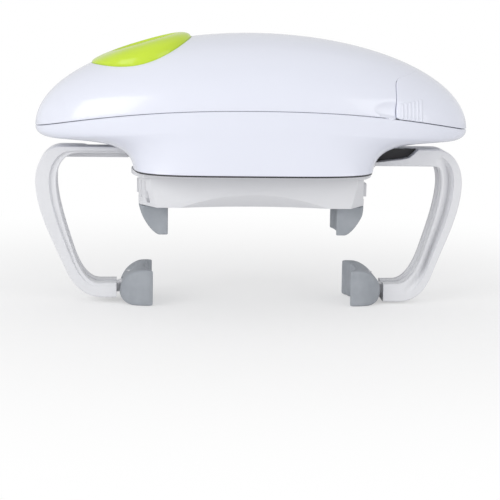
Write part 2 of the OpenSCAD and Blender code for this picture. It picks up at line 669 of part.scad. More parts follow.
// The right arm, with its rack on the -y side. The left arm is the same piece, turned half round.
module arm() {
    plain = arm_inner(high_rail_z, 0);
    racked = arm_inner(low_rail_z, 1);
    difference() {
        union() {
            arm_slab(plain, 0, rim_share, split_y, arm_half);
            arm_slab(plain, rim_share, 0.9, split_y, groove_y);
            arm_slab(plain, rim_share, 1, groove_y, arm_half - rim_depth);
            arm_slab(racked, 0, 1, -arm_half + band_depth, split_y);
            arm_slab(racked, 0, band[0], -arm_half, -arm_half + band_depth);
            arm_slab(racked, band[1], 1, -arm_half, -arm_half + band_depth);
            translate([0, -arm_pitch_r, rack_z]) rotate([0, 0, 180])
                rack_teeth(big_module, -12, 5, rack_h, 4.4, 0);
            translate([-15, -arm_pitch_r - 1.1 - 4.4, rack_z]) cube([95, 4.4, rack_h]);
            translate([rail_end, -arm_pitch_r - 1.1 - 4.4, rack_z]) cube([18, 9, rack_h]);
        }
        translate([pivot_x - 12, -30, -1]) cube([18.5, 60, 20]);
        translate([0, split_y - arm_half, 0]) along_y(2 * arm_half) polygon([
            [rail_end - 1, rail_top + 1], [rail_end - 1, rack_z + rack_h], [arm_reach - 26.3, rack_z + rack_h],
            [arm_reach - 19.8, rail_top + 1]]);
    }
    difference() {
        union() {
            translate([pivot_x, 0, tongue_z]) cylinder(r = 5, h = tongue_h);
            translate([pivot_x, -5, tongue_z]) cube([8, 10, tongue_h]);
        }
        translate([pivot_x, 0, -1]) cylinder(r = pivot_r + running, h = 30);
    }
}
tongue_z = 5.2;
tongue_h = 7.6;
module left_arm() color(pale_grey) half_turn() arm();
module right_arm() color(pale_grey) arm();

// The right pad: a rubber block with a hollowed, ribbed face and a knuckle round the tongue.
hollow_r = 44.4;
hollow_depth = 3.9;
rib_count = 7;
// The gripping face in plan: an arc with shallow grooves between its ribs.
function grip_face() = let (side = asin((pad_half_w - 0.6) / hollow_r), steps = 8 * rib_count)
    [for (i = [0:steps]) let (
        a = side - 2 * side * i / steps,
        r = hollow_r + (i % 8 > 5 ? 0.8 : 0))
        [pad_face_x + hollow_depth - hollow_r + r * cos(a), r * sin(a)]];
module tongue_pocket() {
    swing = 0.4;
    translate([pivot_x, 0, tongue_z - swing]) linear_extrude(tongue_h + 2 * swing)
        polygon(concat([for (a = [90:10:270]) (5 + swing) * [cos(a), sin(a)]], [[4, -6.6], [14, -8.8],
            [14, 8.8], [4, 6.6]]));
}
module jar_pad() {
    difference() {
        intersection() {
            linear_extrude(pad_h) polygon(concat(grip_face(), [
                [pad_face_x, -pad_half_w], [pad_face_x + 6.5, -pad_half_w], [pad_face_x + 9.5, -pad_half_w + 3],
                [pivot_x + 4.2, -9], [pivot_x + 6, -6], [pivot_x + 6, 6], [pivot_x + 4.2, 9],
                [pad_face_x + 9.5, pad_half_w - 3], [pad_face_x + 6.5, pad_half_w], [pad_face_x, pad_half_w]]));
            along_y(60) polygon([[pad_face_x - 1, -1], [pivot_x + 1.4, -1], [pivot_x + 4.6, 2.2],
                [pivot_x + 4.8, 5.5], [pivot_x + 4.4, 9], [pivot_x + 2.3, pad_h - 4],
                [pivot_x - 4.75, pad_h + 1], [pad_face_x - 1, pad_h + 1]]);
        }
        tongue_pocket();
        translate([pivot_x, 0, pin_z]) cylinder(r = pivot_r, h = 30);
    }
}
pin_z = 1.5;
module left_jar_pad() color(rubber_grey) half_turn() jar_pad();
module right_jar_pad() color(rubber_grey) jar_pad();
module pad_pin() translate([pivot_x, 0, pin_z]) cylinder(r = pivot_r, h = 14);
module left_pad_pin() color(steel) half_turn() pad_pin();
module right_pad_pin() color(steel) pad_pin();

module arm_pinion() color(nylon) difference() {
    union() {
        translate([0, 0, rack_z]) spur(big_module, arm_teeth, rack_h, 0);
        translate([0, 0, rack_z]) cylinder(r = 7, h = ring_floor - clear - rack_z);
    }
    translate([0, 0, rack_z - 1]) cylinder(r = spindle_r + running, h = 20);
}

// ---- turntable, carrier and lid jaws ------------------------------------
module bar_outline(r, half_w) {
    intersection() { circle(r = r, $fn = 120); square([4 * r, 2 * half_w], center = true); }
}
module turntable() color(pale_grey) difference() {
    union() {
        translate([0, 0, flange_bottom]) linear_extrude(flange_top - flange_bottom)
            bar_outline(flange_r, carrier_half_w + 0.4);
        translate([0, 0, flange_top - 0.1]) cylinder(r = hub_r - running, h = base_top - 0.1 - flange_top);
    }
    translate([0, 0, flange_bottom - 1]) cylinder(r = spindle_r, h = 12);
    four_ways(carrier_screw_x, carrier_screw_y) translate([0, 0, flange_bottom - 1]) {
        cylinder(r = screw_r, h = 8);
        translate([0, 0, 1.9]) cylinder(r = 3, h = 8);
    }
}
carrier_screw_x = 34;
carrier_screw_y = 19;
module carrier_screws() color(steel) four_ways(carrier_screw_x, carrier_screw_y) {
    translate([0, 0, flange_bottom - 8]) cylinder(r = screw_r, h = 8.9);
    translate([0, 0, flange_bottom + 0.9]) difference() {
        cylinder(r = 2.8, h = 1.2);
        translate([-0.3, -2, 0.6]) cube([0.6, 4, 1]);
    }
}
channel_half = 12.8;
neck_half = 6;
jaw_in = 27;          // inward travel of a jaw
scoop_chord = 88;
scoop_rise = 6.6;
scoop_r = (pow(scoop_chord / 2, 2) + pow(scoop_rise, 2)) / 2 / scoop_rise;
module jaw_carrier() color(pale_grey) difference() {
    translate([0, 0, carrier_z]) linear_extrude(flange_bottom - carrier_z)
        bar_outline(carrier_r, carrier_half_w);
    translate([0, 0, channel_floor]) linear_extrude(20)
        bar_outline(carrier_r - 2.4, channel_half);
    for (side = [0, 180]) rotate([0, 0, side]) {
        translate([-carrier_r - 1, -4.2, channel_floor]) cube([10, channel_half + 4.2, slide_h + 2 * clear]);
        translate([-carrier_r - 1, -neck_half - 0.5, carrier_z - 1])
            cube([carrier_r + 1 - jaw_face_x - 2.5 + jaw_in + 2, 2 * neck_half + 1, 8]);
        for (end = [-1, 1]) translate([end * 35 - 17, channel_half + 2, carrier_z + 9])
            cube([34, carrier_half_w - channel_half - 4.4, 20]);
        scoop();
        end_details();
    }
    four_ways(carrier_screw_x, carrier_screw_y) translate([0, 0, flange_bottom - 8]) cylinder(r = screw_r, h = 12);
}
// The corners are drafted away towards the underside, and each end has a tall slot and a nick.
module end_details() {
    for (end = [0, 1]) mirror([end, 0, 0])
        polyhedron(points = [[10 - carrier_r, -carrier_half_w - 1, carrier_z - 0.1],
            [1.1 - carrier_r, 14 - carrier_half_w, carrier_z - 0.1],
            [-carrier_r - 4, -carrier_half_w - 1, carrier_z - 0.1],
            [6.2 - carrier_r, -carrier_half_w - 1, flange_bottom - 1],
            [0.8 - carrier_r, 6 - carrier_half_w, flange_bottom - 1],
            [-carrier_r - 4, -carrier_half_w - 1, flange_bottom - 1]],
            faces = [[0, 1, 2], [3, 5, 4], [0, 3, 4, 1], [1, 4, 5, 2], [2, 5, 3, 0]]);
    translate([-carrier_r - 1, -15.4, carrier_z + 3.9]) cube([3.6, 4, 8.4]);
    translate([4.8 - carrier_r, 3.5 - carrier_half_w, carrier_z + 2.2]) rotate([0, 12, 40])
        cube([4, 1.6, 5.6]);
}
// A hollow in the lower long edge, an arc seen from the front.
module scoop() {
    translate([0, -carrier_half_w, carrier_z + scoop_rise]) rotate([-45, 0, 0])
        translate([0, 0, -scoop_r]) rotate([90, 0, 0]) cylinder(r = scoop_r, h = 60, center = true, $fn = 200);
}
// The left slide, with its rack on the +y side of the pinion.
module jaw_slide() {
    neck_x = -jaw_face_x - 12.5;
    translate([0, jaw_pitch_r, slide_z]) rack_teeth(mid_module, -14, 3, slide_h, 6.2, 0.5);
    difference() {
        union() {
            translate([neck_x, jaw_pitch_r + 1.1 * mid_module, slide_z])
                cube([-neck_x + 8, 6.2, slide_h]);
            translate([neck_x, -3.4, slide_z])
                cube([9, jaw_pitch_r + 1.1 * mid_module + 3.5, slide_h]);
            translate([neck_x - 3.4, 2, slide_z + 1.5]) cube([4, 8, 6.5]);
        }
    }
    translate([neck_x, -neck_half, jaw_tip_z + 7]) cube([9, 2 * neck_half, slide_z - jaw_tip_z - 7]);
}
module left_jaw_slide() color(pale_grey) jaw_slide();
module right_jaw_slide() color(pale_grey) half_turn() jaw_slide();
module jaw_pinion() color(nylon) difference() {
    translate([0, 0, slide_z + 1.2]) spur(mid_module, small_teeth, slide_h - 1.6, 0);
    translate([0, 0, slide_z - 1]) cylinder(r = spindle_tip_r + running, h = 20);
}
// The left jaw: a rubber fin, rounded outside, with a grooved gripping face.
module lid_jaw() {
    top = carrier_z - clear;
    x = -jaw_face_x;
    difference() {
        intersection() {
            along_y(2 * jaw_half_w) polygon(concat([[x, top]],
                bezier_points([[x - 15.2, top], [x - 13.6, top - 6], [x - 9, jaw_tip_z + 1.5],
                    [x - 5, jaw_tip_z]], 10), [[x, jaw_tip_z]]));
            translate([0, 0, jaw_tip_z - 1]) cylinder(r = -x + 15.4, h = 20, $fn = 96);
        }
        translate([x + 60, 0, jaw_tip_z - 1]) cylinder(r = 62, h = 20, $fn = 160);
        for (k = [-4:4]) translate([x + 60, 0, jaw_tip_z - 1]) rotate([0, 0, 180 + 2.6 * k])
            translate([62, 0, 0]) cylinder(r = 0.6, h = 20, $fn = 16);
        translate([x - 12.5, -neck_half, jaw_tip_z + 7]) cube([9, 2 * neck_half, 20]);
    }
}
module left_lid_jaw() color(rubber_grey) lid_jaw();
module right_lid_jaw() color(rubber_grey) half_turn() lid_jaw();

// ---- batteries ----------------------------------------------------------
cell_r = 7.1;
cell_len = 49.5;
tray_x = body_half_len - 74;
tray_z = 95.5;
tray_t = 1.4;
tray_half = 2 * cell_r + 0.4 + tray_t;
tray_post_x = tray_x + 28;
tray_post_y = 22;
cell_z = tray_z + tray_t + cell_r;
cell_x = tray_x + tray_t + 2.6;
module battery_tray() color(pale_grey) difference() {
    union() {
        translate([tray_x, -tray_half, tray_z]) cube([cell_len + 6.5, 2 * tray_half, cell_r + tray_t]);
        for (side = [-1, 1]) translate([tray_post_x, side * tray_post_y, tray_z]) cylinder(r = 3.2, h = 1.6);
        for (side = [-1, 1]) translate([tray_post_x - 3.2, side > 0 ? tray_half - 1 : -tray_post_y, tray_z])
            cube([6.4, tray_post_y - tray_half + 1, 1.6]);
    }
    translate([tray_x + tray_t, -tray_half + tray_t, cell_z]) cube([cell_len + 20, 2 * tray_half - 2 * tray_t, 20]);
    for (side = [-1, 1]) translate([tray_x + tray_t, side * (cell_r + 0.1), cell_z]) rotate([0, 90, 0])
        cylinder(r = cell_r + 0.1, h = cell_len + 20);
    translate([cell_x + cell_len + 1.1, -11.1, cell_z - 4.1]) cube([0.7, 22.2, 20]);
}
module batteries() for (side = [-1, 1]) translate([cell_x, side * (cell_r + 0.1), cell_z])
    rotate([0, 90, 0]) {
        color([0.25, 0.27, 0.3]) cylinder(r = cell_r, h = cell_len - 1);
        color(steel) translate([0, 0, side > 0 ? cell_len - 1 : -1]) cylinder(r = 2.7, h = 1);
    }
module battery_contacts() color(steel) {
    for (side = [-1, 1]) translate([tray_x + tray_t, side * (cell_r + 0.1) - 5, cell_z - 4]) cube([0.5, 10, 9]);
    translate([cell_x + cell_len + 1.2, -11, cell_z - 4]) cube([0.5, 22, 9]);
}
module battery_springs() color(steel) {
    translate([tray_x + tray_t + 0.5, cell_r + 0.1, cell_z]) rotate([0, 90, 0]) cylinder(r = 3.2, h = 2.1);
    translate([cell_x + cell_len - 1, -cell_r - 0.1, cell_z]) rotate([0, 90, 0]) cylinder(r = 3.2, h = 2.2);
}

upper_housing();
lower_housing();
battery_cover();
start_button();
button_spring();
switch_body();
switch_plunger();
circuit_board();
base_plate();
housing_screws();
ring_gear();
gearbox_screws();
motor_plate();
gear_axles();
motor();
motor_pinion();
first_gear();
second_gear();
sun_gear();
planet_gear(0);  // planet_gears_a
planet_gear(1);  // planet_gears_b
planet_gear(2);  // planet_gears_c
planet_carrier();
planet_pins();
spindle_washer();
spindle_screw();
arm_pinion();
left_arm();
right_arm();
left_jar_pad();
right_jar_pad();
left_pad_pin();
right_pad_pin();
turntable();
carrier_screws();
jaw_carrier();
left_jaw_slide();
right_jaw_slide();
jaw_pinion();
left_lid_jaw();
right_lid_jaw();
battery_tray();
batteries();
battery_contacts();
battery_springs();
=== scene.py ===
# %% [markdown]
# # An electric jar opener, dressed
#
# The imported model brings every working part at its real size: gears, racks, pins, springs and
# shells. Its shells are made of flat facets, because a gearbox fits them as well as it fits a
# smooth one. This lesson puts the surfaces on. The outer mouldings are built again from the same
# formulas with fine meshes and rounded lips, the rubber parts are softened, and every piece gets
# a material of nodes. Nothing that the model measures is moved.

# %% Tools and the frame
import json
import math

import bmesh
import bpy
import numpy as np
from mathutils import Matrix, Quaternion, Vector, geometry


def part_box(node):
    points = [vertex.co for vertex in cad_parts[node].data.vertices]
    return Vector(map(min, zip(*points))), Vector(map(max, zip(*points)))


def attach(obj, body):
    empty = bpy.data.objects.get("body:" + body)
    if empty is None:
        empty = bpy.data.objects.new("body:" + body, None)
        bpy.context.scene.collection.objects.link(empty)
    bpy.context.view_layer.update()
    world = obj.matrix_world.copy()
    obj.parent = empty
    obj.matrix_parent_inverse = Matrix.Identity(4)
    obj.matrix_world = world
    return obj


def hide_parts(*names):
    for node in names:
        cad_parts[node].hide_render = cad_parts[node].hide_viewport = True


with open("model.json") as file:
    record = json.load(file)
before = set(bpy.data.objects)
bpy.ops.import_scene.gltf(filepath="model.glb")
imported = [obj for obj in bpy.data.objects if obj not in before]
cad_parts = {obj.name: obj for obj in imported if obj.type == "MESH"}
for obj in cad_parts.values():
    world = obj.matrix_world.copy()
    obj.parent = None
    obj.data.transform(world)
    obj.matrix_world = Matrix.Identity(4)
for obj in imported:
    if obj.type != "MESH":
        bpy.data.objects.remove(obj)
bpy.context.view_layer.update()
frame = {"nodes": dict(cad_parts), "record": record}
MM = 0.001
print("nodes in the frame:", len(frame["nodes"]))

# %% [markdown]
# ## Sums on surfaces
#
# Shader maths reads best as maths. `Field` wraps one output socket, and its operators add Math
# nodes, so `0.3 + 0.1 * grain` is written as it is thought. The reflected forms, such as
# `__radd__`, let a plain number stand on the left. Every other node comes from `make`, which
# takes the node's type, its settings and the values or links of its inputs.

# %% The Field class
class Field:
    """One output socket of a shader node, which takes part in sums."""

    def __init__(self, socket):
        self.socket = socket

    def _sum(self, operation, a, b):
        return make(self.socket.id_data, "Math", {"operation": operation}, {0: a, 1: b})

    def __add__(self, other):
        return self._sum("ADD", self, other)

    __radd__ = __add__

    def __sub__(self, other):
        return self._sum("SUBTRACT", self, other)

    def __rsub__(self, other):
        return self._sum("SUBTRACT", other, self)

    def __mul__(self, other):
        return self._sum("MULTIPLY", self, other)

    __rmul__ = __mul__


def make(tree, kind, settings=None, inputs=None, out=0):
    """Adds a node, sets it up, fills its inputs and gives back one output as a Field."""
    node = tree.nodes.new("ShaderNode" + kind)
    for name, value in (settings or {}).items():
        setattr(node, name, value)
    for name, value in (inputs or {}).items():
        if isinstance(value, Field):
            tree.links.new(value.socket, node.inputs[name])
        else:
            node.inputs[name].default_value = value
    return Field(node.outputs[out])


print("Field and make are ready")

# %% [markdown]
# ## Finishes
#
# A finish starts from a fresh material whose Principled shader holds the constants. What varies
# over the surface is only colour, roughness and the bump under the normal. `grain` is a noise
# measured in real millimetres on the piece's own coordinates, so its scale is right on each one.

# %% A helper for finishes
class Finish:
    """A material under construction: its tree, its Principled shader and its coordinates."""

    def __init__(self, name, **constants):
        self.material = bpy.data.materials.new(name)
        self.material.use_nodes = True
        self.tree = self.material.node_tree
        self.tree.nodes.clear()
        self.shader = self.tree.nodes.new("ShaderNodeBsdfPrincipled")
        output = self.tree.nodes.new("ShaderNodeOutputMaterial")
        self.tree.links.new(self.shader.outputs[0], output.inputs[0])
        self.place = make(self.tree, "TexCoord", out="Object")
        for name, value in constants.items():
            self.shader.inputs[name.replace("_", " ")].default_value = value

    def grain(self, size_mm, detail=2.0, stretch=(1, 1, 1)):
        """A noise whose spots are about size_mm wide."""
        place = make(self.tree, "Mapping", None, {"Vector": self.place, "Scale": stretch})
        return make(self.tree, "TexNoise", None,
                    {"Vector": place, "Scale": 1 / (size_mm * MM), "Detail": detail}, "Fac")

    def blend(self, share, first, second):
        """A colour between two, by a share."""
        return make(self.tree, "Mix", {"data_type": "RGBA"},
                    {"Factor": share, 6: (*first, 1), 7: (*second, 1)}, 2)

    def bump(self, height, depth_mm, strength=1.0):
        """A normal from a height that is depth_mm deep."""
        return make(self.tree, "Bump", None,
                    {"Height": height, "Distance": depth_mm * MM, "Strength": strength})

    def paint(self, **fields):
        """Links fields to the shader's sockets, named with _ for a space."""
        for name, field in fields.items():
            self.tree.links.new(field.socket, self.shader.inputs[name.replace("_", " ")])
        return self.material


cloud_mm, uneven_mm = 28, 9            # how wide the faint clouds and the uneven gloss are


def moulded_plastic(name, base, rough, cloud, grain_mm, depth_mm, **constants):
    """Plastic from a polished or sparked tool: faint clouding, fine grain, a little unevenness."""
    finish = Finish(name, **constants)
    clouds = finish.grain(cloud_mm)
    fine = finish.grain(grain_mm, 3.0)
    darker = [c * (1 - cloud) for c in base]
    lighter = [min(1, c * (1 + cloud * 0.5)) for c in base]
    uneven = rough + 0.05 * finish.grain(uneven_mm) - 0.02
    return finish.paint(Base_Color=finish.blend(clouds, darker, lighter),
                        Roughness=uneven, Normal=finish.bump(fine, depth_mm))


finishes = {}
print("finishes can be made")

# %% [markdown]
# The housing is white ABS from a polished tool, with the cool, slightly lilac cast of optical
# brightener. A thin clear coat gives the crisp reflections that the real gloss has. The button is
# the same gloss in lime. The arms and the carrier come from a sparked tool, so they are satin.

# %% Plastics
finishes["white_shell"] = moulded_plastic(
    "white_gloss", (0.785, 0.806, 0.9), rough=0.24, cloud=0.012, grain_mm=0.5, depth_mm=0.0012,
    Coat_Weight=0.35, Coat_Roughness=0.06, Specular_IOR_Level=0.45)
finishes["lime_button"] = moulded_plastic(
    "lime_gloss", (0.575, 0.76, 0.05), rough=0.3, cloud=0.03, grain_mm=0.5, depth_mm=0.0012,
    Coat_Weight=0.5, Coat_Roughness=0.12, Specular_IOR_Level=0.1)
finishes["grey_plastic"] = moulded_plastic(
    "satin_grey", (0.745, 0.75, 0.775), rough=0.38, cloud=0.02, grain_mm=0.28, depth_mm=0.005)
finishes["nylon"] = moulded_plastic(
    "natural_nylon", (0.80, 0.78, 0.70), rough=0.42, cloud=0.03, grain_mm=0.3, depth_mm=0.004)
finishes["black_plastic"] = moulded_plastic(
    "black_abs", (0.025, 0.025, 0.028), rough=0.4, cloud=0.1, grain_mm=0.3, depth_mm=0.004)
print("plastics:", len(finishes))

# %% [markdown]
# Rubber scatters light broadly and shows small worn patches. Its bump is coarser than the
# plastic's, and paler dust sits where the noise is high.

# %% Rubber
def soft_rubber():
    """Grey rubber with pale worn patches and a fine speck."""
    finish = Finish("grey_rubber", Specular_IOR_Level=0.3)
    patches = finish.grain(7, 4.0)
    speck = finish.grain(0.6, 3.0)
    colour = finish.blend(patches, (0.27, 0.292, 0.32), (0.41, 0.432, 0.465))
    rough = 0.52 + 0.2 * patches
    return finish.paint(Base_Color=colour, Roughness=rough, Normal=finish.bump(speck, 0.05, 0.5))


finishes["grey_rubber"] = soft_rubber()
print("rubber is ready")

# %% [markdown]
# Metal parts are small and mostly hidden, but they show when a view reaches inside. Turned and
# drawn metal has fine lines round its axis, made by a noise that is squeezed along Z.

# %% Metals, board and cells
def turned_metal(name, base, rough, lines=(1, 1, 12)):
    """Metal whose fine lines run round its axis, or along it where lines stretch the noise."""
    finish = Finish(name, Metallic=1.0)
    streaks = finish.grain(2.5, 3.0, lines)
    colour = finish.blend(streaks, [c * 0.86 for c in base], base)
    return finish.paint(Base_Color=colour, Roughness=rough + 0.14 * streaks,
                        Normal=finish.bump(streaks, 0.01, 0.4))


def circuit_green():
    """Green lacquer over a grid of fine tracks."""
    finish = Finish("lacquered_board", Coat_Weight=0.4, Coat_Roughness=0.12)
    cells = make(finish.tree, "TexBrick", {"offset": 0.5},
                 {"Vector": finish.place, "Scale": 260, "Mortar Size": 0.035}, "Fac")
    colour = finish.blend(cells, (0.03, 0.16, 0.06), (0.06, 0.25, 0.1))
    return finish.paint(Base_Color=colour, Roughness=0.3 + 0.1 * cells,
                        Normal=finish.bump(cells, 0.03, 0.4))


def cell_wrap():
    """The dark shrunk film round a battery's cell."""
    finish = Finish("cell_wrapper", Specular_IOR_Level=0.5)
    wave = finish.grain(6)
    colour = finish.blend(wave, (0.05, 0.06, 0.075), (0.08, 0.09, 0.11))
    return finish.paint(Base_Color=colour, Roughness=0.25 + 0.1 * wave,
                        Normal=finish.bump(wave, 0.02, 0.5))


finishes["screw_steel"] = turned_metal("zinc_steel", (0.62, 0.63, 0.65), 0.28)
finishes["spring_steel"] = turned_metal("spring_wire", (0.58, 0.59, 0.61), 0.2)
finishes["contact_steel"] = turned_metal("nickel_plate", (0.70, 0.69, 0.66), 0.18)
finishes["motor_can"] = turned_metal("motor_steel", (0.60, 0.61, 0.63), 0.3, (1, 1, 0.08))
finishes["brass_pinion"] = turned_metal("cut_brass", (0.80, 0.58, 0.24), 0.25)
finishes["board_green"] = circuit_green()
finishes["battery_wrap"] = cell_wrap()
print("finishes:", sorted(finishes))

# %% [markdown]
# ## Meshes
#
# Points are worked out in millimetres with numpy, because that is how the part is drawn, and
# scaled once when the mesh is made. A shape is a pair: its points, and its faces as lists of
# point numbers. `solid` makes a shape an object with its faces turned outwards. `dress` smooths
# it but keeps real corners crisp, and gives it its body and finish. `add_piece` does both.

# %% Making a piece
weld_gap, sliver = 0.004, 0.002        # closer points are welded and shorter edges dissolved


def solid(name, shape, weld=False):
    """A closed mesh object from a shape in millimetres."""
    points, faces = shape
    mesh = bpy.data.meshes.new(name)
    mesh.from_pydata([tuple(float(c) * MM for c in p) for p in points], [], faces)
    work = bmesh.new()
    work.from_mesh(mesh)
    if weld:
        bmesh.ops.remove_doubles(work, verts=work.verts, dist=weld_gap * MM)
        bmesh.ops.dissolve_degenerate(work, edges=work.edges, dist=sliver * MM)
    bmesh.ops.recalc_face_normals(work, faces=work.faces)
    work.to_mesh(mesh)
    work.free()
    made = bpy.data.objects.new(name, mesh)
    bpy.context.scene.collection.objects.link(made)
    return made


def dress(made, body, slot, nodes=(), corner=32):
    """Smooth shading up to a corner's angle, the body it rides, its finish and its nodes."""
    made.data.shade_smooth()
    made.data.set_sharp_from_angle(angle=math.radians(corner))
    made.data.materials.clear()
    made.data.materials.append(finishes[slot])
    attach(made, body)
    if nodes:
        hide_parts(*nodes)
    stands_for = ", ".join(nodes) or "nothing"
    print(f"{made.name}: {len(made.data.polygons)} faces, stands for {stands_for}")
    return made


def add_piece(name, shape, body, slot, nodes=(), corner=32):
    """A welded piece from a shape, dressed."""
    return dress(solid(name, shape, weld=True), body, slot, nodes, corner)


def joined(shapes):
    """Several shapes as one."""
    points, faces = [], []
    for part_points, part_faces in shapes:
        start = len(points)
        points.extend(part_points)
        faces.extend([[start + i for i in face] for face in part_faces])
    return points, faces


def ring_mesh(rings, closed=True):
    """A shape from rings of points. Where it is closed, the last ring meets the first."""
    count = len(rings[0])
    faces = []
    for r in range(len(rings) if closed else len(rings) - 1):
        here, there = r * count, (r + 1) % len(rings) * count
        faces += [[here + k, here + (k + 1) % count, there + (k + 1) % count, there + k]
                  for k in range(count)]
    return list(np.concatenate(rings)), faces


def half_turned(shape):
    """The same shape turned half round the upright axis."""
    points, faces = shape
    return [(-p[0], -p[1], p[2]) for p in points], faces


def around(count):
    """The angles of points evenly spaced round a circle."""
    return np.arange(count) * 2 * math.pi / count


def bezier(p0, p1, p2, p3, count):
    """Points along a cubic curve, both ends included."""
    t = np.linspace(0, 1, count + 1)[:, None]
    p0, p1, p2, p3 = (np.array(p, float) for p in (p0, p1, p2, p3))
    return (1 - t) ** 3 * p0 + 3 * t * (1 - t) ** 2 * p1 + 3 * t * t * (1 - t) * p2 + t ** 3 * p3


def eased(t):
    """A share from 0 to 1 with a soft start and a soft end."""
    return t * t * (3 - 2 * t)


def halved(near_end, far_end, still_near, rounds=30):
    """Where a test turns from true to false between two values, found by halving."""
    for _ in range(rounds):
        middle = (near_end + far_end) / 2
        near = still_near(middle)
        near_end, far_end = np.where(near, middle, near_end), np.where(near, far_end, middle)
    return near_end


print("mesh helpers are ready")

# %% [markdown]
# ## The housing's form
#
# Seen from above the housing is an oval a little fuller than an ellipse. Above the parting line
# each section is a quarter ellipse up to the crown. `crown` works on a flat disc that is laid
# over the form: its rim is the parting line and its middle the highest point. A flat plan like
# this can be cut with any outline before it is lifted onto the form.

# %% Sizes of the housing, from the model
low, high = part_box("upper_housing")
half_len = -low.x / MM                 # the tip at the button's end
half_wide = high.y / MM
crown_z = high.z / MM
tip_z = 90.2                           # the parting line at the tips
part_rise = 11.2                       # and how far it climbs to the middle
fullness = 2.25                        # 2 is an ellipse
wall = 2.2
lip = 0.35                             # radius of the moulded edges
print(f"housing {2 * half_len:.1f} by {2 * half_wide:.1f}, crown at {crown_z:.1f} mm")


# %% The crown as a formula
def crown(u, v, inset=0.0):
    """Points of the crown over plan points (u, v); the plan's rim is the parting line."""
    a, b = u / half_len, v / half_wide
    rho = np.hypot(a, b)
    turn = np.arctan2(b, a)
    rise = (1 - rho) * math.pi / 2
    cos_t, sin_t = np.cos(turn), np.sin(turn)
    x = (half_len - inset) * np.cos(rise) * np.sign(cos_t) * np.abs(cos_t) ** (2 / fullness)
    y = (half_wide - inset) * np.cos(rise) * np.sign(sin_t) * np.abs(sin_t) ** (2 / fullness)
    start = tip_z + part_rise * sin_t ** 2
    return np.stack([x, y, start + (crown_z - inset - start) * np.sin(rise)], -1)


def plan_of(x, y):
    """The plan point (u, v) that lies under (x, y) on the crown."""
    a = np.abs(x / half_len) ** fullness
    b = np.abs(y / half_wide) ** fullness
    size = np.maximum(a + b, 1e-12)
    rho = 1 - np.arccos(np.minimum(size ** (1 / fullness), 1)) * 2 / math.pi
    cos_t = np.sign(x) * np.sqrt(a / size)
    sin_t = np.sign(y) * np.sqrt(b / size)
    return np.stack([rho * cos_t * half_len, rho * sin_t * half_wide], -1)


def crown_height(x, y):
    """Height of the crown over the point (x, y)."""
    plan = plan_of(np.asarray(x, float), np.asarray(y, float))
    return crown(plan[..., 0], plan[..., 1])[..., 2]


print("crown over the middle:", crown_height(0, 0).round(1), "mm")

# %% [markdown]
# ## Panels with lips
#
# A moulded cover is a skin with a rolled edge. `panel` takes outlines drawn in the flat plan, the
# first round the outside and the others round holes. It fills them with a Delaunay mesh, lifts
# that onto the form, rolls every edge over by the lip's radius, takes it down through the wall
# and closes the back. The light catches such an edge exactly as it does on the real moulding.

# %% Filling a plan
lattice_row = 0.866                    # a row's height in a lattice of triangles of side 1
clear_plain, clear_fine = 0.6, 0.3     # pitches that the lattice stays away from a rim
batch = 2000                           # points that are measured at a time


def inside(points, loop):
    """Which points lie inside a closed loop, by counting crossings."""
    x, y = points[:, 0][:, None], points[:, 1][:, None]
    x1, y1 = loop[:, 0][None], loop[:, 1][None]
    x2, y2 = np.roll(x1, -1, 1), np.roll(y1, -1, 1)
    with np.errstate(divide="ignore", invalid="ignore"):
        crosses = ((y1 > y) != (y2 > y)) & (x < (x2 - x1) * (y - y1) / (y2 - y1) + x1)
    return crosses.sum(1) % 2 == 1


def between(points, loops):
    """Which points lie inside the first loop and outside the others."""
    keep = inside(points, loops[0])
    for hole in loops[1:]:
        keep &= ~inside(points, hole)
    return keep


def near(points, loops, gap):
    """Which points lie closer to a loop's corners than gap."""
    corners = np.concatenate(loops)
    close = np.zeros(len(points), bool)
    for start in range(0, len(points), batch):
        part = points[start:start + batch]
        reach = ((part[:, None] - corners[None]) ** 2).sum(2).min(1)
        close[start:start + batch] = reach < gap * gap
    return close


def lattice(loop, pitch):
    """Points of a triangular lattice over a loop's box."""
    box_low, box_high = loop.min(0), loop.max(0)
    across = np.arange(box_low[0], box_high[0], pitch)
    rows = np.arange(box_low[1], box_high[1], pitch * lattice_row)
    return np.array([(x + (pitch / 2 if k % 2 else 0), y) for k, y in enumerate(rows)
                     for x in across])


def fill_plan(loops, pitch, fine=None):
    """Triangles of the plan inside the first loop and outside the others. fine tells where the
    lattice is three times as close."""
    grid = lattice(loops[0], pitch)
    if fine:
        closer = lattice(loops[0], pitch / 3)
        grid = np.concatenate([grid[~fine(grid)], closer[fine(closer)]])
    clear = pitch * (clear_fine if fine else clear_plain)
    grid = grid[between(grid, loops) & ~near(grid, loops, clear)]
    edges, starts, start = [], [], 0
    for loop in loops:
        count = len(loop)
        edges += [(start + i, start + (i + 1) % count) for i in range(count)]
        starts.append(start)
        start += count
    found, _, triangles, origins, _, _ = geometry.delaunay_2d_cdt(
        [Vector(p) for p in np.concatenate([*loops, grid])], edges, [], 0, 1e-6)
    found = np.array([tuple(p) for p in found])
    middles = np.array([found[list(t)].mean(0) for t in triangles])
    filled = [list(t) for t, keep in zip(triangles, between(middles, loops)) if keep]
    where = {old: new for new, olds in enumerate(origins) for old in olds}
    rims = [[where[first + i] for i in range(len(loop))] for first, loop in zip(starts, loops)]
    return found, filled, rims


def surface_normals(form, plan):
    """Outward normals of a form over plan points, from small steps."""
    step = 0.02
    along_u = form(plan[:, 0] + step, plan[:, 1]) - form(plan[:, 0] - step, plan[:, 1])
    along_v = form(plan[:, 0], plan[:, 1] + step) - form(plan[:, 0], plan[:, 1] - step)
    normals = np.cross(along_u, along_v)
    return normals / np.linalg.norm(normals, axis=1)[:, None]


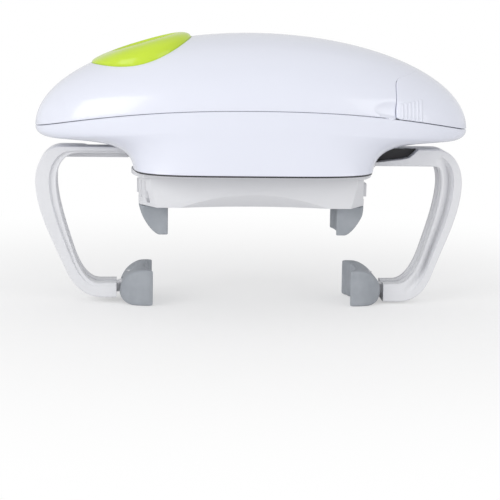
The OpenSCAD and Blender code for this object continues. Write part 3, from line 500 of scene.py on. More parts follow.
def panel(form, loops, pitch, fine):
    """A closed panel over a form: skin, rolled lips, wall and back."""
    plan, triangles, rims = fill_plan(loops, pitch, fine)
    skin = form(plan[:, 0], plan[:, 1])
    normals = surface_normals(form, plan)
    count = len(skin)
    points = list(skin) + list(skin - normals * wall)
    faces = [list(t) for t in triangles] + [[count + i for i in reversed(t)] for t in triangles]
    for rim in rims:
        ring, up = skin[rim], normals[rim]
        travel = np.roll(ring, -1, 0) - np.roll(ring, 1, 0)
        out = np.cross(travel, up)
        out /= np.linalg.norm(out, axis=1)[:, None]
        rolled = [ring + out * lip * math.sin(a) - up * lip * (1 - math.cos(a))
                  for a in (math.radians(30), math.radians(60), math.radians(90))]
        rows = [list(rim)]
        for row in [*rolled, ring + out * lip - up * wall]:
            rows.append(list(range(len(points), len(points) + len(rim))))
            points += list(row)
        rows.append([count + i for i in rim])
        for upper, lower in zip(rows, rows[1:]):
            for i in range(len(rim)):
                j = (i + 1) % len(rim)
                faces.append([upper[i], lower[i], lower[j], upper[j]])
    return points, faces


print("panel is ready")

# %% [markdown]
# ## Where the crown is cut
#
# Three outlines cut the crown: the well of the start button, the seam of the battery cover and
# the parting line itself. Each is found on the form first and then laid into the plan. The well
# is a tilted oval tube, so each of its points is slid along the tube until it meets the crown,
# and `halved` finds that place.

# %% The button's well
button_tilt = math.radians(17)
button_x = 53 - half_len
button_z = float(crown_height(button_x, 0)) - 0.8
button_r, button_wide, well_gap = 25.8, 1.13, 0.4
button_up = np.array([-math.sin(button_tilt), 0, math.cos(button_tilt)])
button_along = np.array([math.cos(button_tilt), 0, math.sin(button_tilt)])
button_side = np.array([0, 1, 0])
button_middle = np.array([button_x, 0, button_z])
axis_low, axis_high = -18.0, 10.0      # the stretch of the axis that is searched for the crown


def from_button(across, side, up):
    """Points given along the button, to its side and along its axis, in the model's frame."""
    across, side, up = np.broadcast_arrays(across, side, up)
    return (button_middle + across[..., None] * button_along + side[..., None] * button_side
            + up[..., None] * button_up)


def up_to_crown(across, side):
    """How far along the button's axis the crown lies."""
    across, side = np.broadcast_arrays(np.asarray(across, float), np.asarray(side, float))

    def below(up):
        """Whether the places at this height on the axis are still under the crown."""
        p = from_button(across, side, up)
        size = np.abs(p[..., 0] / half_len) ** fullness + np.abs(p[..., 1] / half_wide) ** fullness
        return (size < 1) & (p[..., 2] < crown_height(p[..., 0], p[..., 1]))

    return halved(np.full(across.shape, axis_low), np.full(across.shape, axis_high), below, 34)


def button_oval(radius, count):
    """An oval round the button's axis, as places along the button and to its side."""
    a = around(count)
    return radius * np.cos(a), radius * button_wide * np.sin(a)


def well_outline(radius, count=160):
    """Plan points of an oval round the button's axis, laid on the crown, anticlockwise."""
    across, side = button_oval(radius, count)
    p = from_button(across, side, up_to_crown(across, side))
    return plan_of(p[:, 0], p[:, 1])


well = well_outline(button_r + well_gap + lip)
print("well outline spans", np.ptp(well, 0).round(1), "mm in plan")

# %% [markdown]
# The battery cover's seam runs straight up the side, rounds a corner and leans back over the top.
# Its side view is given as (x, z) points. At each height the seam lies where the crown has that
# height, which a few halvings find.

# %% The cover's seam
cover_x = half_len - 41.3
seam = 0.3
cover_side_z, cover_lean = tip_z + 22.3, 0.3
corner_run, corner_rise, lean_run = 3.2, 5.2, 41
just_inside = 0.99999                  # a place this share of the way out is still on the crown
crown_arc = 36                         # millimetres of arc from the parting line to the middle


def seam_side(shift):
    """Side view of the seam from the parting line up to past the crown, moved along x."""
    upright = np.stack([np.full(24, cover_x), np.linspace(90, cover_side_z, 25)[:-1]], 1)
    corner = bezier((cover_x, cover_side_z), (cover_x, cover_side_z + 3.5),
                    (cover_x + 0.8, cover_side_z + 4.5),
                    (cover_x + corner_run, cover_side_z + corner_rise), 10)
    lean = np.linspace(0, 1, 70)[1:, None] * np.array([[lean_run, lean_run * cover_lean]])
    return np.concatenate([upright, corner, lean + corner[-1]]) + np.array([[shift, 0]])


def seam_outline(shift):
    """Plan points of the seam on the far side, from the parting line to the ridge."""
    side = seam_side(shift)
    loop = []
    for x, z in side:
        if abs(x) >= half_len or z > crown_height(x, 0):
            break
        rim_y = half_wide * (1 - (abs(x) / half_len) ** fullness) ** (1 / fullness)
        if z >= crown_height(x, rim_y * just_inside):
            loop.append(plan_of(x, halved(0.0, rim_y, lambda y: crown_height(x, y) > z)))
    ridge_x = [x for x, z in side if abs(x) < half_len and z <= crown_height(x, 0)][-1]
    for _ in range(20):                                  # up the lean until it meets the ridge
        top_z = cover_side_z + corner_rise + (ridge_x - shift - cover_x - corner_run) * cover_lean
        ridge_x += (crown_height(ridge_x, 0) - top_z) * 0.6
    loop.append(plan_of(np.float64(ridge_x), np.float64(0)))
    return np.array(loop)


def rim_arc(start, stop, count, drop):
    """Plan points along the parting line, drop millimetres of arc inside it."""
    a, share = np.linspace(start, stop, count), 1 - drop / crown_arc
    return np.stack([half_len * share * np.cos(a), half_wide * share * np.sin(a)], 1)


def rim_angle(loop):
    """The angle at which a seam's first point meets the parting line."""
    return math.atan2(loop[0][1] / half_wide, loop[0][0] / half_len)


print("seam side view has", len(seam_side(0)), "points")

# %% [markdown]
# The finger recess beside the cover is a shallow spoon that a fingertip finds, deepest at the
# seam. It is pressed into the form itself: where a flat egg overlaps the skin, the skin moves in
# to the egg's surface, and a soft maximum rounds the rim. The cover's grip ribs are raised the
# same way, with a smooth step at each side.

# %% The crown with its scoops, and the cover with its ribs
recess_z = tip_z + 13.1
recess_long, recess_deep, recess_high = 12.6, 1.5, 5.0       # the egg's radii
recess_lean = math.radians(17)
recess_fade, recess_most, flank_y, soft_rim = 1.2, 1.6, 15, 0.3
rib_count, rib_pitch, rib_proud = 6, 2.0, 0.38
rib_first, rib_half, rib_edge, rib_end = 2.45, 0.95, 0.6, 0.8


def side_depth(x, z):
    """Half depth of the crown at a place along it and a height."""
    along = (abs(x) / half_len) ** fullness
    return float(halved(0.0, half_wide, lambda y: (along + (y / half_wide) ** fullness < 1)
                        & (crown_height(x, y) > z)))


recess_y = side_depth(cover_x, recess_z) + 0.3
lean_cos, lean_sin = math.cos(recess_lean), math.sin(recess_lean)


def press_scoops(points):
    """Moves points of the crown inwards where the recess eggs overlap it."""
    side = np.sign(points[..., 1])
    dx, dy = points[..., 0] - cover_x, np.abs(points[..., 1]) - recess_y
    along, out = dx * lean_cos - dy * lean_sin, dx * lean_sin + dy * lean_cos
    flat = 1 - (along / recess_long) ** 2 - ((points[..., 2] - recess_z) / recess_high) ** 2
    egg = -recess_deep * np.sqrt(np.maximum(flat, 0))
    depth = np.where(flat > 0, out - egg, out - 0.8 * (1 - flat))
    depth = 0.5 * (depth + np.sqrt(depth ** 2 + soft_rim ** 2))
    close = (np.abs(points[..., 1]) > flank_y) & (flat > -recess_fade)
    depth = np.where(close, np.minimum(depth, recess_most), 0)
    depth = depth * eased(np.clip((flat + recess_fade) / recess_fade, 0, 1))
    moved = points.copy()
    moved[..., 0] -= depth * lean_sin
    moved[..., 1] -= side * depth * lean_cos
    return moved


def crown_skin(u, v):
    """The crown with its finger recesses."""
    return press_scoops(crown(u, v))


def cover_skin(u, v):
    """The crown with the cover's ribs, each a little lower and longer than the one before."""
    points, grown = crown(u, v), crown(u, v, -rib_proud)
    lift = np.zeros(points.shape[:-1])
    for k in range(rib_count):
        middle, start = cover_x + rib_first + rib_pitch * k, tip_z + 6.4 - 0.3 * k
        stop = start + 8.8 + 0.7 * k
        edge_x = (rib_half - np.abs(points[..., 0] - middle)) / rib_edge
        edge_z = np.minimum(points[..., 2] - start, stop - points[..., 2]) / rib_end
        lift = np.maximum(lift, np.clip(np.minimum(edge_x, edge_z), 0, 1))
    return points + (grown - points) * eased(lift)[..., None]


def on_ribs(plan):
    """Where the cover's lattice has to be close enough to draw the ribs."""
    p = crown(plan[:, 0], plan[:, 1])
    return (p[:, 0] > cover_x + 0.6) & (p[:, 0] < cover_x + 14.5) & (np.abs(p[:, 2] - 101) < 9.5)


def by_recess(plan):
    """Where the housing's lattice has to be close enough to draw the recess."""
    p = crown(plan[:, 0], plan[:, 1])
    return (np.abs(p[:, 0] - cover_x + 6) < 9) & (np.abs(p[:, 2] - recess_z) < 7.5)


print(f"recess centre {recess_y:.1f} mm out, {rib_count} ribs")

# %% The upper housing and the cover
near_side = np.array([1, -1])          # turns the far side's seam into the near side's
housing_seam, cover_seam = seam_outline(-seam - lip), seam_outline(lip)
angle = rim_angle(housing_seam)
housing_loop = np.concatenate([rim_arc(angle, 2 * math.pi - angle, 320, lip)[1:-1],
                               housing_seam * near_side, housing_seam[::-1][1:]])
shell = panel(crown_skin, [housing_loop, well[::-1]], 1.7, by_recess)

angle = rim_angle(cover_seam)
cover_loop = np.concatenate([rim_arc(-angle, angle, 110, lip + 0.03)[1:-1], cover_seam,
                             (cover_seam * near_side)[::-1][1:]])
cap = panel(cover_skin, [cover_loop], 1.05, on_ribs)
print("upper shell", len(shell[0]), "points, cover", len(cap[0]))

# %% [markdown]
# ## Bosses, tubes and carved blocks
#
# Inside a shell stand screw posts, and the pads and the carrier have round holes. `turned` sweeps
# a closed outline of (radius, height) pairs round an axis, and `post` and `rod` give it the two
# outlines that come back. `prism` draws a flat outline upwards or along Y. `carved` cuts cutters
# out of a block with Blender's exact Boolean, which is how a toolmaker would describe the
# carrier: a bar with round ends, minus a channel, minus a scoop.

# %% Turned shapes and prisms
def turned(outline, centre=(0, 0), count=32):
    """A closed outline of (radius, z) swept round an upright axis."""
    points, faces, rows = [], [], len(outline)
    for k in range(count):
        a = 2 * math.pi * k / count
        points += [(centre[0] + radius * math.cos(a), centre[1] + radius * math.sin(a), z)
                   for radius, z in outline]
        here, there = k * rows, (k + 1) % count * rows
        for i in range(rows):
            j = (i + 1) % rows
            faces.append([here + i, there + i, there + j, here + j])
    return points, faces


def post(centre, radius, bore, low_z, high_z):
    """A screw post: a tube with two flat ends."""
    return turned([(radius, low_z), (radius, high_z), (bore, high_z), (bore, low_z)], centre)


def rod(radius, low_z, high_z, centre=(0, 0), count=24, core=0.001):
    """A round bar. Its core is a hair's breadth, so that its ends close."""
    return turned([(core, low_z), (radius, low_z), (radius, high_z), (core, high_z)], centre, count)


def prism(outline, low_z, high_z, lying=False):
    """An outline drawn between two levels, or an (x, z) outline drawn along Y where it lies."""
    count = len(outline)
    points = [(x, y, low_z) for x, y in outline] + [(x, y, high_z) for x, y in outline]
    if lying:
        points = [(x, z, y) for x, y, z in points]
    faces = [list(range(count)), list(range(2 * count - 1, count - 1, -1))]
    faces += [[i, (i + 1) % count, (i + 1) % count + count, i + count] for i in range(count)]
    return points, faces


def box(low_corner, high_corner):
    """A block between two corners."""
    (x0, y0, z0), (x1, y1, z1) = low_corner, high_corner
    return prism([(x0, y0), (x1, y0), (x1, y1), (x0, y1)], z0, z1)


print("turned, post, rod, prism and box are ready")


# %% Carving
def settled(made):
    """Applies an object's modifiers to its own mesh."""
    graph = bpy.context.evaluated_depsgraph_get()
    done = bpy.data.meshes.new_from_object(made.evaluated_get(graph))
    old, made.data = made.data, done
    made.modifiers.clear()
    bpy.data.meshes.remove(old)
    return made


def cut_with(made, cutters, keep="DIFFERENCE"):
    """Takes each cutter out of a piece, or keeps only what lies inside the cutter."""
    for number, cutter in enumerate(cutters):
        tool = solid(f"{made.name}_tool_{number}", cutter)
        cut = made.modifiers.new("cut", "BOOLEAN")
        cut.operation, cut.solver, cut.object = keep, "EXACT", tool
        settled(made)
        bpy.data.objects.remove(tool)
    return made


def carved(name, block, cutters, keep="DIFFERENCE"):
    """A block as an object, after its cutters."""
    return cut_with(solid(name, block), cutters, keep)


def rounded(made, radius):
    """Gives a carved piece soft edges."""
    edge = made.modifiers.new("edge", "BEVEL")
    edge.width, edge.segments = radius * MM, 2
    edge.limit_method, edge.angle_limit = "ANGLE", math.radians(34)
    edge.use_clamp_overlap = True
    return settled(made)


print("carving is ready")

# %% [markdown]
# The upper shell gets its four screw posts, and a cup round the button that keeps crumbs out of
# the gearbox. The cup is drawn as ovals round the button's tilted axis. Its wall and the posts
# end just under the skin, whose height the crown's formula gives.

# %% The upper shell
post_places = [(x, y) for x in (-44, 44) for y in (-35.04, 35.04)]
post_r, post_bore, post_joint = 3.6, 1.6, 97
cup_wall, cup_low, cup_floor, under_skin = 1.5, -14.0, -12.8, 1.3
stem_hole = 3.4 / button_wide


def cup():
    """The button's cup: a wall from the crown down to a floor with a hole for the stem."""
    inner, rings = button_r + well_gap, []
    for radius, level in ((inner + cup_wall, cup_low), (inner + cup_wall, None), (inner, None),
                          (inner, cup_floor), (stem_hole, cup_floor), (stem_hole, cup_low)):
        across, side = button_oval(radius, 96)
        up = up_to_crown(across, side) - under_skin if level is None else level
        rings.append(from_button(across, side, up))
    return ring_mesh(rings)


def post_top(x, y):
    """A post's top, under the skin at its outer edge."""
    return float(crown_height(abs(x) + 3, abs(y) + 3)) - 1.2


upper_posts = [post(c, post_r, post_bore, post_joint, post_top(*c)) for c in post_places]
add_piece("upper_shell", joined([shell, cup(), *upper_posts]), "root", "white_shell",
          ["upper_housing"], 40)

# %% [markdown]
# The cover is held by two tongues that reach forward into the housing beside the cells.

# %% The battery cover
tray_side, tongue_low, tongue_high = 16.0, 97.5, 101.5


def tongues():
    """Two flat tongues and the webs that join them to the cover's sides."""
    parts = []
    for side in (-1, 1):
        y = side * (tray_side + 2.4)
        parts.append(box((cover_x - 6, y - 1.2, tongue_low), (cover_x + 24, y + 1.2, tongue_high)))
        reach = side * (side_depth(cover_x + 12, tongue_high) - 0.8)
        low_y, high_y = sorted((y, reach))
        parts.append(box((cover_x + 8, low_y, tongue_low), (cover_x + 12, high_y, tongue_high)))
    return parts


add_piece("cover_shell", joined([cap, *tongues()]), "battery_cover", "white_shell",
          ["battery_cover"], 40)

# %% [markdown]
# ## The start button
#
# The button is a flat oval plate whose edge rolls over and falls to the crown, with a shallow
# dish for the thumb. It is drawn on rings round its axis. The fall is steep at the high end and
# long at the sides, where the crown drops away, so the profile's power changes with the angle.

# %% The lime button
plate_up, dish_across = 2.35, 2.5      # the plate's level and the dish's middle
dish_long, dish_wide, dish_edge = 17.5, 17.0, 0.09
cap_wall, cap_low, bowl_r = 2, -10.0, 60


def button_top(share, angle):
    """Places on the upper surface, at a share of the radius and an angle."""
    across = button_r * share * np.cos(angle)
    side = button_r * button_wide * share * np.sin(angle)
    edge = up_to_crown(button_r * np.cos(angle), button_r * button_wide * np.sin(angle)) + 0.1
    fuller = 3 + 2 * np.maximum(np.cos(angle), 0) + 3 * np.sin(angle) ** 2
    plate = edge + (plate_up - edge) * np.sqrt(np.maximum(1 - share ** fuller, 0))
    far = np.hypot((across - dish_across) / dish_long, side / dish_wide)
    dish = (0.9 * eased(np.clip((1 - far) / dish_edge, 0, 1))
            + 0.5 * np.clip(1 - far ** 2, 0, 1))
    return across, side, plate - dish


def button_shape():
    """The cap, from the middle of its top over the edge to the middle below, and its stem."""
    count = 144
    shares = np.concatenate([np.linspace(0.02, 0.45, 10), np.linspace(0.46, 0.86, 60),
                             1 - 0.14 * np.linspace(0.98, 0, 22) ** 2])
    rings = [from_button(*button_top(np.full(count, share), around(count))) for share in shares]
    across, side = button_oval(button_r, count)
    inner = (button_r - cap_wall) / button_r
    rings += [from_button(across, side, np.minimum(up_to_crown(across, side) - 2.0, 10)),
              from_button(across, side, cap_low),
              from_button(across * inner, side * inner, cap_low)]
    for share in (inner, 0.75, 0.5, 0.25, 0.1):
        x, y = across * share, side * share
        bowl = bowl_r + 0.5 - np.sqrt(bowl_r ** 2 - x ** 2 - y ** 2)
        rings.append(from_button(x, y, np.minimum(up_to_crown(x, y) - 1.4, bowl - 1.8)))
    points, faces = ring_mesh(rings, closed=False)
    last = len(points) - count
    faces += [list(range(count)), [last + k for k in range(count)][::-1]]
    stem, stem_faces = rod(3.0, -15.8, -0.6, count=32, core=0.01)
    stem = from_button(*np.array(stem).T)
    return joined([(points, faces), (stem, stem_faces)])


add_piece("button_cap", button_shape(), "start_button", "lime_button", ["start_button"], 50)

# %% [markdown]
# ## The lower housing
#
# Below the parting line the outline narrows from the full oval, under two wings, to a boxier
# skirt. The same cubic curves as in the model give each ring's length and height, and the oval's
# fullness grows towards the skirt. Windows for the arms are cut afterwards.

# %% The skirt's rings
wing_z, skirt_z, skirt_half_len = 84.0, 69.7, 60.5
skirt_half_w, skirt_fullness = half_wide - 2, 4.2
skirt_edge = 0.3                       # how much the lower edge is eased
tip_part = bezier((half_len, tip_z), (half_len, wing_z + 2.1), (half_len - 4.1, wing_z + 0.1),
                  (half_len - 12, wing_z), 28)
skirt_part = bezier((half_len - 12, wing_z), (half_len - 28, wing_z - 1.1),
                    (skirt_half_len + 1.5, wing_z - 0.2), (skirt_half_len, skirt_z), 42)
profile = np.concatenate([tip_part, skirt_part[1:]])
profile_share = np.concatenate([np.linspace(0, 0.4, 29), np.linspace(0.4, 1, 43)[1:]])


def skirt_ring(x, z, s, inset):
    """One ring of the lower housing, s of the way from the parting line to the skirt's end."""
    a = around(208)
    n = fullness + (skirt_fullness - fullness) * s ** 2.3
    half_w = half_wide + (skirt_half_w - half_wide) * s
    lift = inset * min(1, 3 * s) * (1 - s ** 6)
    cos_a, sin_a = np.cos(a), np.sin(a)
    px = (x - inset) * np.sign(cos_a) * np.abs(cos_a) ** (2 / n)
    py = (half_w - inset) * np.sign(sin_a) * np.abs(sin_a) ** (2 / n)
    return np.stack([px, py, z + lift + part_rise * sin_a ** 2 * (1 - s)], 1)


def skirt_shape():
    """The rolled lip, the outside down to the eased edge, and the inside back up."""
    outside, within = [], []
    for t in (90, 60, 30):
        ring = skirt_ring(half_len, tip_z, 0, lip * math.sin(math.radians(t)))
        ring[:, 2] -= lip * (1 - math.cos(math.radians(90 - t)))
        outside.append(ring)
    top = skirt_ring(half_len, tip_z, 0, 0)[:, 2] - lip
    for (x, z), s in zip(profile, profile_share):
        ring = skirt_ring(x, z, s, 0)
        ring[:, 2] = np.minimum(ring[:, 2], top)
        outside.append(ring)
        within.append(skirt_ring(x, z, s, wall))
    outside[-1][:, 2] += skirt_edge
    outside.append(skirt_ring(skirt_half_len, skirt_z, 1, skirt_edge))
    return ring_mesh(outside + within[::-1])


print("the skirt falls from", tip_z, "to", skirt_z, "mm in", len(profile), "rings")

# %% The skirt with its windows and posts
window_near, window_far, window_top = 48.5, 83.5, 80.8
rack_window = (-16.2, -1.6, 71.0)      # where it starts and stops across, and its sill
rail_window = (-2.0, 10.8, 74.2)
post_foot, post_head = 71.9, 96.6
tray_posts, tray_post_r, tray_post_core = [(64, -22), (64, 22)], 3.2, 0.02
tray_post_foot, tray_post_head = 84.4, 95.5


def window(flip):
    """Cutters for the arm's window at one end: low beside the rack, high beside the plain rail."""
    parts = []
    for y0, y1, sill in (rack_window, rail_window):
        xs, ys = sorted((flip * window_near, flip * window_far)), sorted((flip * y0, flip * y1))
        parts.append(box((xs[0], ys[0], sill), (xs[1], ys[1], window_top)))
    return parts


lower_body = carved("lower_shell", skirt_shape(), window(1) + window(-1))
lower_posts = [post(c, post_r, post_bore, post_foot, post_head) for c in post_places]
lower_posts += [post(c, tray_post_r, tray_post_core, tray_post_foot, tray_post_head)
                for c in tray_posts]
posts = solid("lower_posts", joined(lower_posts))
lower_mesh = bmesh.new()
lower_mesh.from_mesh(lower_body.data)
lower_mesh.from_mesh(posts.data)
lower_mesh.to_mesh(lower_body.data)
lower_mesh.free()
bpy.data.objects.remove(posts)
dress(lower_body, "root", "white_shell", ["lower_housing"], 36)

# %% [markdown]
# A dark line of shadow runs under the skirt in the photo. It is painted shade: a thin black strip
# just inside the skirt's lower edge, where the gap lies in shadow. Four rings make it.

# %% The painted shade under the skirt
shade_strip_low, shade_strip_high = 68.95, 69.9
shade_strip_rings = [skirt_ring(skirt_half_len, level, 1, inset) for inset, level in
              ((0.35, shade_strip_low), (0.35, shade_strip_high), (1.6, shade_strip_high), (1.6, shade_strip_low))]
# Painted shade: a black strip drawn where the gap under the skirt lies in shadow.
add_piece("painted_shade_strip", ring_mesh(shade_strip_rings), "root", "black_plastic")

# %% [markdown]
# ## The arms
#
# An arm is a C-shaped bar that runs from its rail, round the shoulder and down to the foot. Two
# curves carry everything, one along its outside and one along its inside, which lies lower under
# the rack than under the plain rail. A section is drawn once as (depth, share) pairs, where the
# share says how far a corner lies from the outer curve to the inner one, and swept along both.
# The section has a stepped rim on its plain face, a hollow band on its rack's face and grooves
# along the inside, which catch the light as on the real arm.

# %% The arm's curves
reach, leg, rail_top, rail_start, foot_end = 108.7, 10.7, 80.0, 62.0, (69.6, 67.6)
high_rail, low_rail, foot_top, bend_z = 76.8, 71.4, 10.4, 61.8
arm_shift = -1.1                       # both arms stand a little to the left in the photo
strip_rise = 2.2                       # the left arm's low strip shows as a thin line
pad_pin_x = 62                         # the upright pin that a pad swivels on
rail_count, shoulder_count, leg_count, toe_count = 14, 20, 26, 18


def chained(parts):
    """Cubic parts joined end to end."""
    curves = [bezier(*corners, count) for corners, count in parts]
    return np.concatenate([curves[0]] + [c[1:] for c in curves[1:]])


def arm_curve(first, rail_z, shoulder, leg_part, toe_part, end):
    """A straight rail, three cubic parts and the end of the foot."""
    rail = np.linspace(rail_start, first, rail_count + 1)[:-1]
    return np.concatenate([
        np.stack([rail, np.full(rail_count, rail_z)], 1),
        chained([(shoulder, shoulder_count), (leg_part, leg_count), (toe_part, toe_count)]),
        [end]])


def outer_curve(toe):
    """The arm's outside. A toe of 1 is the rounder one of the left arm, 0 that of the right."""
    first = reach - 13.3
    x, z = reach - 13.5 - 2 * toe, 17.0
    low = 1.2 + 1.8 * toe
    return arm_curve(
        first, rail_top,
        ((first, rail_top), (reach - 5.3, rail_top), (reach + 0.2, 72), (reach, bend_z)),
        ((reach, bend_z), (reach - 0.2 - 0.5 * toe, 46.5), (reach - 8.5, 31 + 1.5 * toe), (x, z)),
        ((x, z), (x - 3.3 - 0.7 * toe, 7.5 + toe), (x - 8 - 1.5 * toe, low + 0.2),
         (x - 17 - 1.5 * toe, low)),
        [foot_end[toe], low])


def inner_curve(toe, rail_z, square):
    """The arm's inside; a squarer corner under the rail on the rack's face."""
    x = reach - leg
    first = x - 12 + 7 * square
    return arm_curve(
        first, rail_z,
        ((first, rail_z), (x - 4.5 + 3.5 * square, rail_z), (x, rail_z - 5 + 3.5 * square),
         (x, bend_z)),
        ((x, bend_z), (x - 0.3, 51), (x - 4.8, 38), (x - 7.8, 28.5)),
        ((x - 7.8, 28.5), (x - 10.1, 21.2), (x - 14.2, foot_top + 0.3), (x - 21.5, foot_top)),
        [foot_end[toe], foot_top])


print("arm curves have", len(inner_curve(0, low_rail, 1)), "stations")

# %% [markdown]
# The hollow band starts below the shoulder and runs out in the foot, so its depth follows a fade
# along the stations. Each corner of the section is (depth, share, curve, shift, hollow): the
# shift moves it a fixed way along the section, for fillets, and the hollow is added as the fade
# allows.

# %% Sweeping the section
fillet, face = 0.45, 10.0              # the section's rounding and its half width
web, groove = 2.5, 7.6                 # where the web and the groove by the rack's face start
hollow_band = [(-face, 0.93 - 0.55 * t, "rack", 0, 4.3 * math.sin(math.pi * t ** 1.9))
               for t in np.linspace(0, 1, 13)]
arm_section = [
    (face - fillet, 0.0, "plain", 0, 0), (face, 0.0, "plain", fillet, 0),
    (face, 0.68, "plain", -fillet, 0), (face, 0.68, "plain", 0, -0.5),
    (face, 0.72, "plain", 0, -1.3), (face, 1.0, "plain", -fillet, -1.1),
    (face - fillet, 1.0, "plain", 0, -1.1), (8.0, 1.0, "plain", 0, 0),
    (7.9, 0.84, "plain", 0, 0), (6.7, 0.84, "plain", 0, 0), (6.6, 1.0, "plain", 0, 0),
    (web + fillet, 1.0, "plain", 0, 0), (web, 1.0, "plain", -fillet, 0),
    (web, 0.9, "plain", 0, 0), (-2.0, 0.9, "plain", 0, 0), (-2.0, 1.0, "rack", -fillet, 0),
    (-2.0 - fillet, 1.0, "rack", 0, 0), (-groove, 1.0, "rack", 0, 0),
    (-groove - 0.1, 1.0, "rack", -1.5, 0), (-8.8, 1.0, "rack", -1.5, 0),
    (-8.9, 1.0, "rack", 0, 0), (-face + fillet, 1.0, "rack", 0, 0),
    (-face, 1.0, "rack", -fillet, 0), *hollow_band, (-face, 0.0, "rack", fillet, 0),
    (-face + fillet, 0.0, "rack", 0, 0), (-2.8, 0.0, "rack", 0, 0), (-2.8, 0.0, "plain", 0, 0)]
notch_xs, notch_zs = [63, 77.8, 82.4, 85.4, 87], [73.1, 74.8, 75.9, 80.4, 81]


def notch_line(x, toe):
    """The rack's face is cut away above this height, so a low strip is left near the housing."""
    return np.interp(x, notch_xs, notch_zs) + strip_rise * toe


def arm_sweep(toe):
    """The section swept along the two curves."""
    outer, rows = outer_curve(toe), []
    inner = {"plain": inner_curve(toe, high_rail, 0),
             "rack": inner_curve(toe, low_rail + strip_rise * toe, 1)}
    stations = np.arange(len(outer))
    fade = {"plain": np.interp(stations, [0, 60, 76, 90], [1, 1, 0.25, 0.25]),
            "rack": np.interp(stations, [0, 15, 30, 62, 75, 90], [0, 0, 1, 1, 0, 0])}
    for depth, share, curve, shift, hollow in arm_section:
        gap = inner[curve] - outer
        width = np.linalg.norm(gap, axis=1)[:, None]
        line = outer + gap * (share + shift / width)
        if curve == "rack":
            cut = np.minimum(line[:, 1], notch_line(line[:, 0], toe))
            line[:, 1] = np.where(line[:, 0] < notch_xs[-1], cut, line[:, 1])
        rows.append(np.stack([line[:, 0], depth + hollow * fade[curve], line[:, 1]], 1))
    corners, count = len(rows), len(stations)
    faces = []
    for i in range(corners):
        here, there = i * count, (i + 1) % corners * count
        faces += [[here + k, there + k, there + k + 1, here + k + 1] for k in range(count - 1)]
    for k in (0, count - 1):
        faces.append([i * count + k for i in range(corners)])
    return list(np.concatenate(rows)), faces


def rack_bar(toe):
    """The toothed bar that meets the arm pinion, and the block that joins it to the rail."""
    half, tan = math.pi / 4 - 0.045, math.tan(math.radians(25))
    back, root, tip = -14.5, -10.1, -8.1
    foot, crest = half + 1.1 * tan, half - 0.9 * tan
    outline = [(-15, back), (-15, root)]
    for k in range(-5, 13):
        x = k * math.pi
        outline += [(x - foot, root), (x - crest, tip), (x + crest, tip), (x + foot, root)]
    outline = [p for p in outline if -15.001 <= p[0] <= 40]
    outline += [(40, root), (57, root), (57, back)]
    low_z = 71.3 + strip_rise * toe
    return [prism(outline, 71.2, 76.4), box((56.9, -14.4, low_z), (63, -5.5, low_z + 1.7))]


def tongue():
    """The flat tongue with the pad's pin hole."""
    return [turned([(5, 5.2), (5, 10.4), (1.55, 10.4), (1.55, 5.2)], (pad_pin_x, 0), 48),
            box((66, -5, 5.2), (70, 5, 9.6))]


def in_place(shape, left):
    """A shape drawn for the right arm, set where the photo has the arm of its side."""
    points, faces = half_turned(shape) if left else shape
    return [(p[0] + arm_shift, p[1], p[2]) for p in points], faces


def clamp_arm(toe):
    """All parts of one arm."""
    return in_place(joined([arm_sweep(toe), *rack_bar(toe), *tongue()]), toe)


add_piece("right_clamp_arm", clamp_arm(0), "right_arm", "grey_plastic", ["right_arm"], 34)
add_piece("left_clamp_arm", clamp_arm(1), "left_arm", "grey_plastic", ["left_arm"], 34)

# %% [markdown]
# Behind the low strip the notch looks nearly black in the photo, because it lies in shadow. That
# shade is
# painted: a thin black plate in front of the web, whose lower edge is the notch's own line.

# %% The painted shade behind the notches
def notch_shade_plate(toe):
    """A black plate of painted shade whose lower edge follows the notch."""
    start, stop, top = rail_start + 0.2, 85.2, rail_top - 0.1
    low_edge = [(x, min(float(notch_line(x, toe)) - 0.5, rail_top - 0.4))
                for x in np.linspace(start, stop, 24)]
    return in_place(prism(low_edge + [(stop, top), (start, top)], -3.5, -2.7, True), toe)


# Painted shade: black plates where the notches lie in shadow.
add_piece("right_notch_shade", notch_shade_plate(0), "right_arm", "black_plastic")
add_piece("left_notch_shade", notch_shade_plate(1), "left_arm", "black_plastic")

# %% [markdown]
# ## Carrier
#
# The carrier is a bar with round ends. A long shallow scoop hollows its lower front edge, the
# corners lean in towards the bottom, and each end has a slot that the jaw's slide looks out of.

# %% The carrier
carrier_low, carrier_high = 51.4, 66.3
slide_channel, pinion_channel = 53.9, 50.4           # the channels' floors
scoop_rise, scoop_chord, scoop_y, scoop_z = 6.6, 88, -26, 58.0
wedge_low, wedge_high = 51.3, 67.3


def bar(radius, half, step=2.0):
    """A circle cut to a bar."""
    edge = math.degrees(math.asin(half / radius))
    right_end = [(radius * math.cos(math.radians(a)), radius * math.sin(math.radians(a)))
                 for a in np.linspace(-edge, edge, int(2 * edge / step) + 1)]
    return right_end + [(-x, -y) for x, y in right_end]


def both_ends(shape):
    """A shape and its copy at the other end."""
    return [shape, half_turned(shape)]


def corner_wedge(mirror):
    """The cutter that leans a corner of the front face."""
    points = [(-48, -27, wedge_low), (-56.9, -12, wedge_low), (-62, -27, wedge_low),
              (-51.8, -27, wedge_high), (-57.2, -20, wedge_high), (-62, -27, wedge_high)]
    faces = [[0, 1, 2], [3, 5, 4], [0, 3, 4, 1], [1, 4, 5, 2], [2, 5, 3, 0]]
    return [(mirror * x, y, z) for x, y, z in points], faces


def nick():
    """The slanted nick in the leaning corner."""
    points, faces = box((-1, 0, 0), (5, 3.2, 6.4))
    lean = Quaternion((0, 0, 1), math.radians(40)) @ Quaternion((0, 1, 0), math.radians(12))
    place = Vector((-53.2, -22.5, 53.6))
    return [tuple(lean @ Vector(p) + place) for p in points], faces


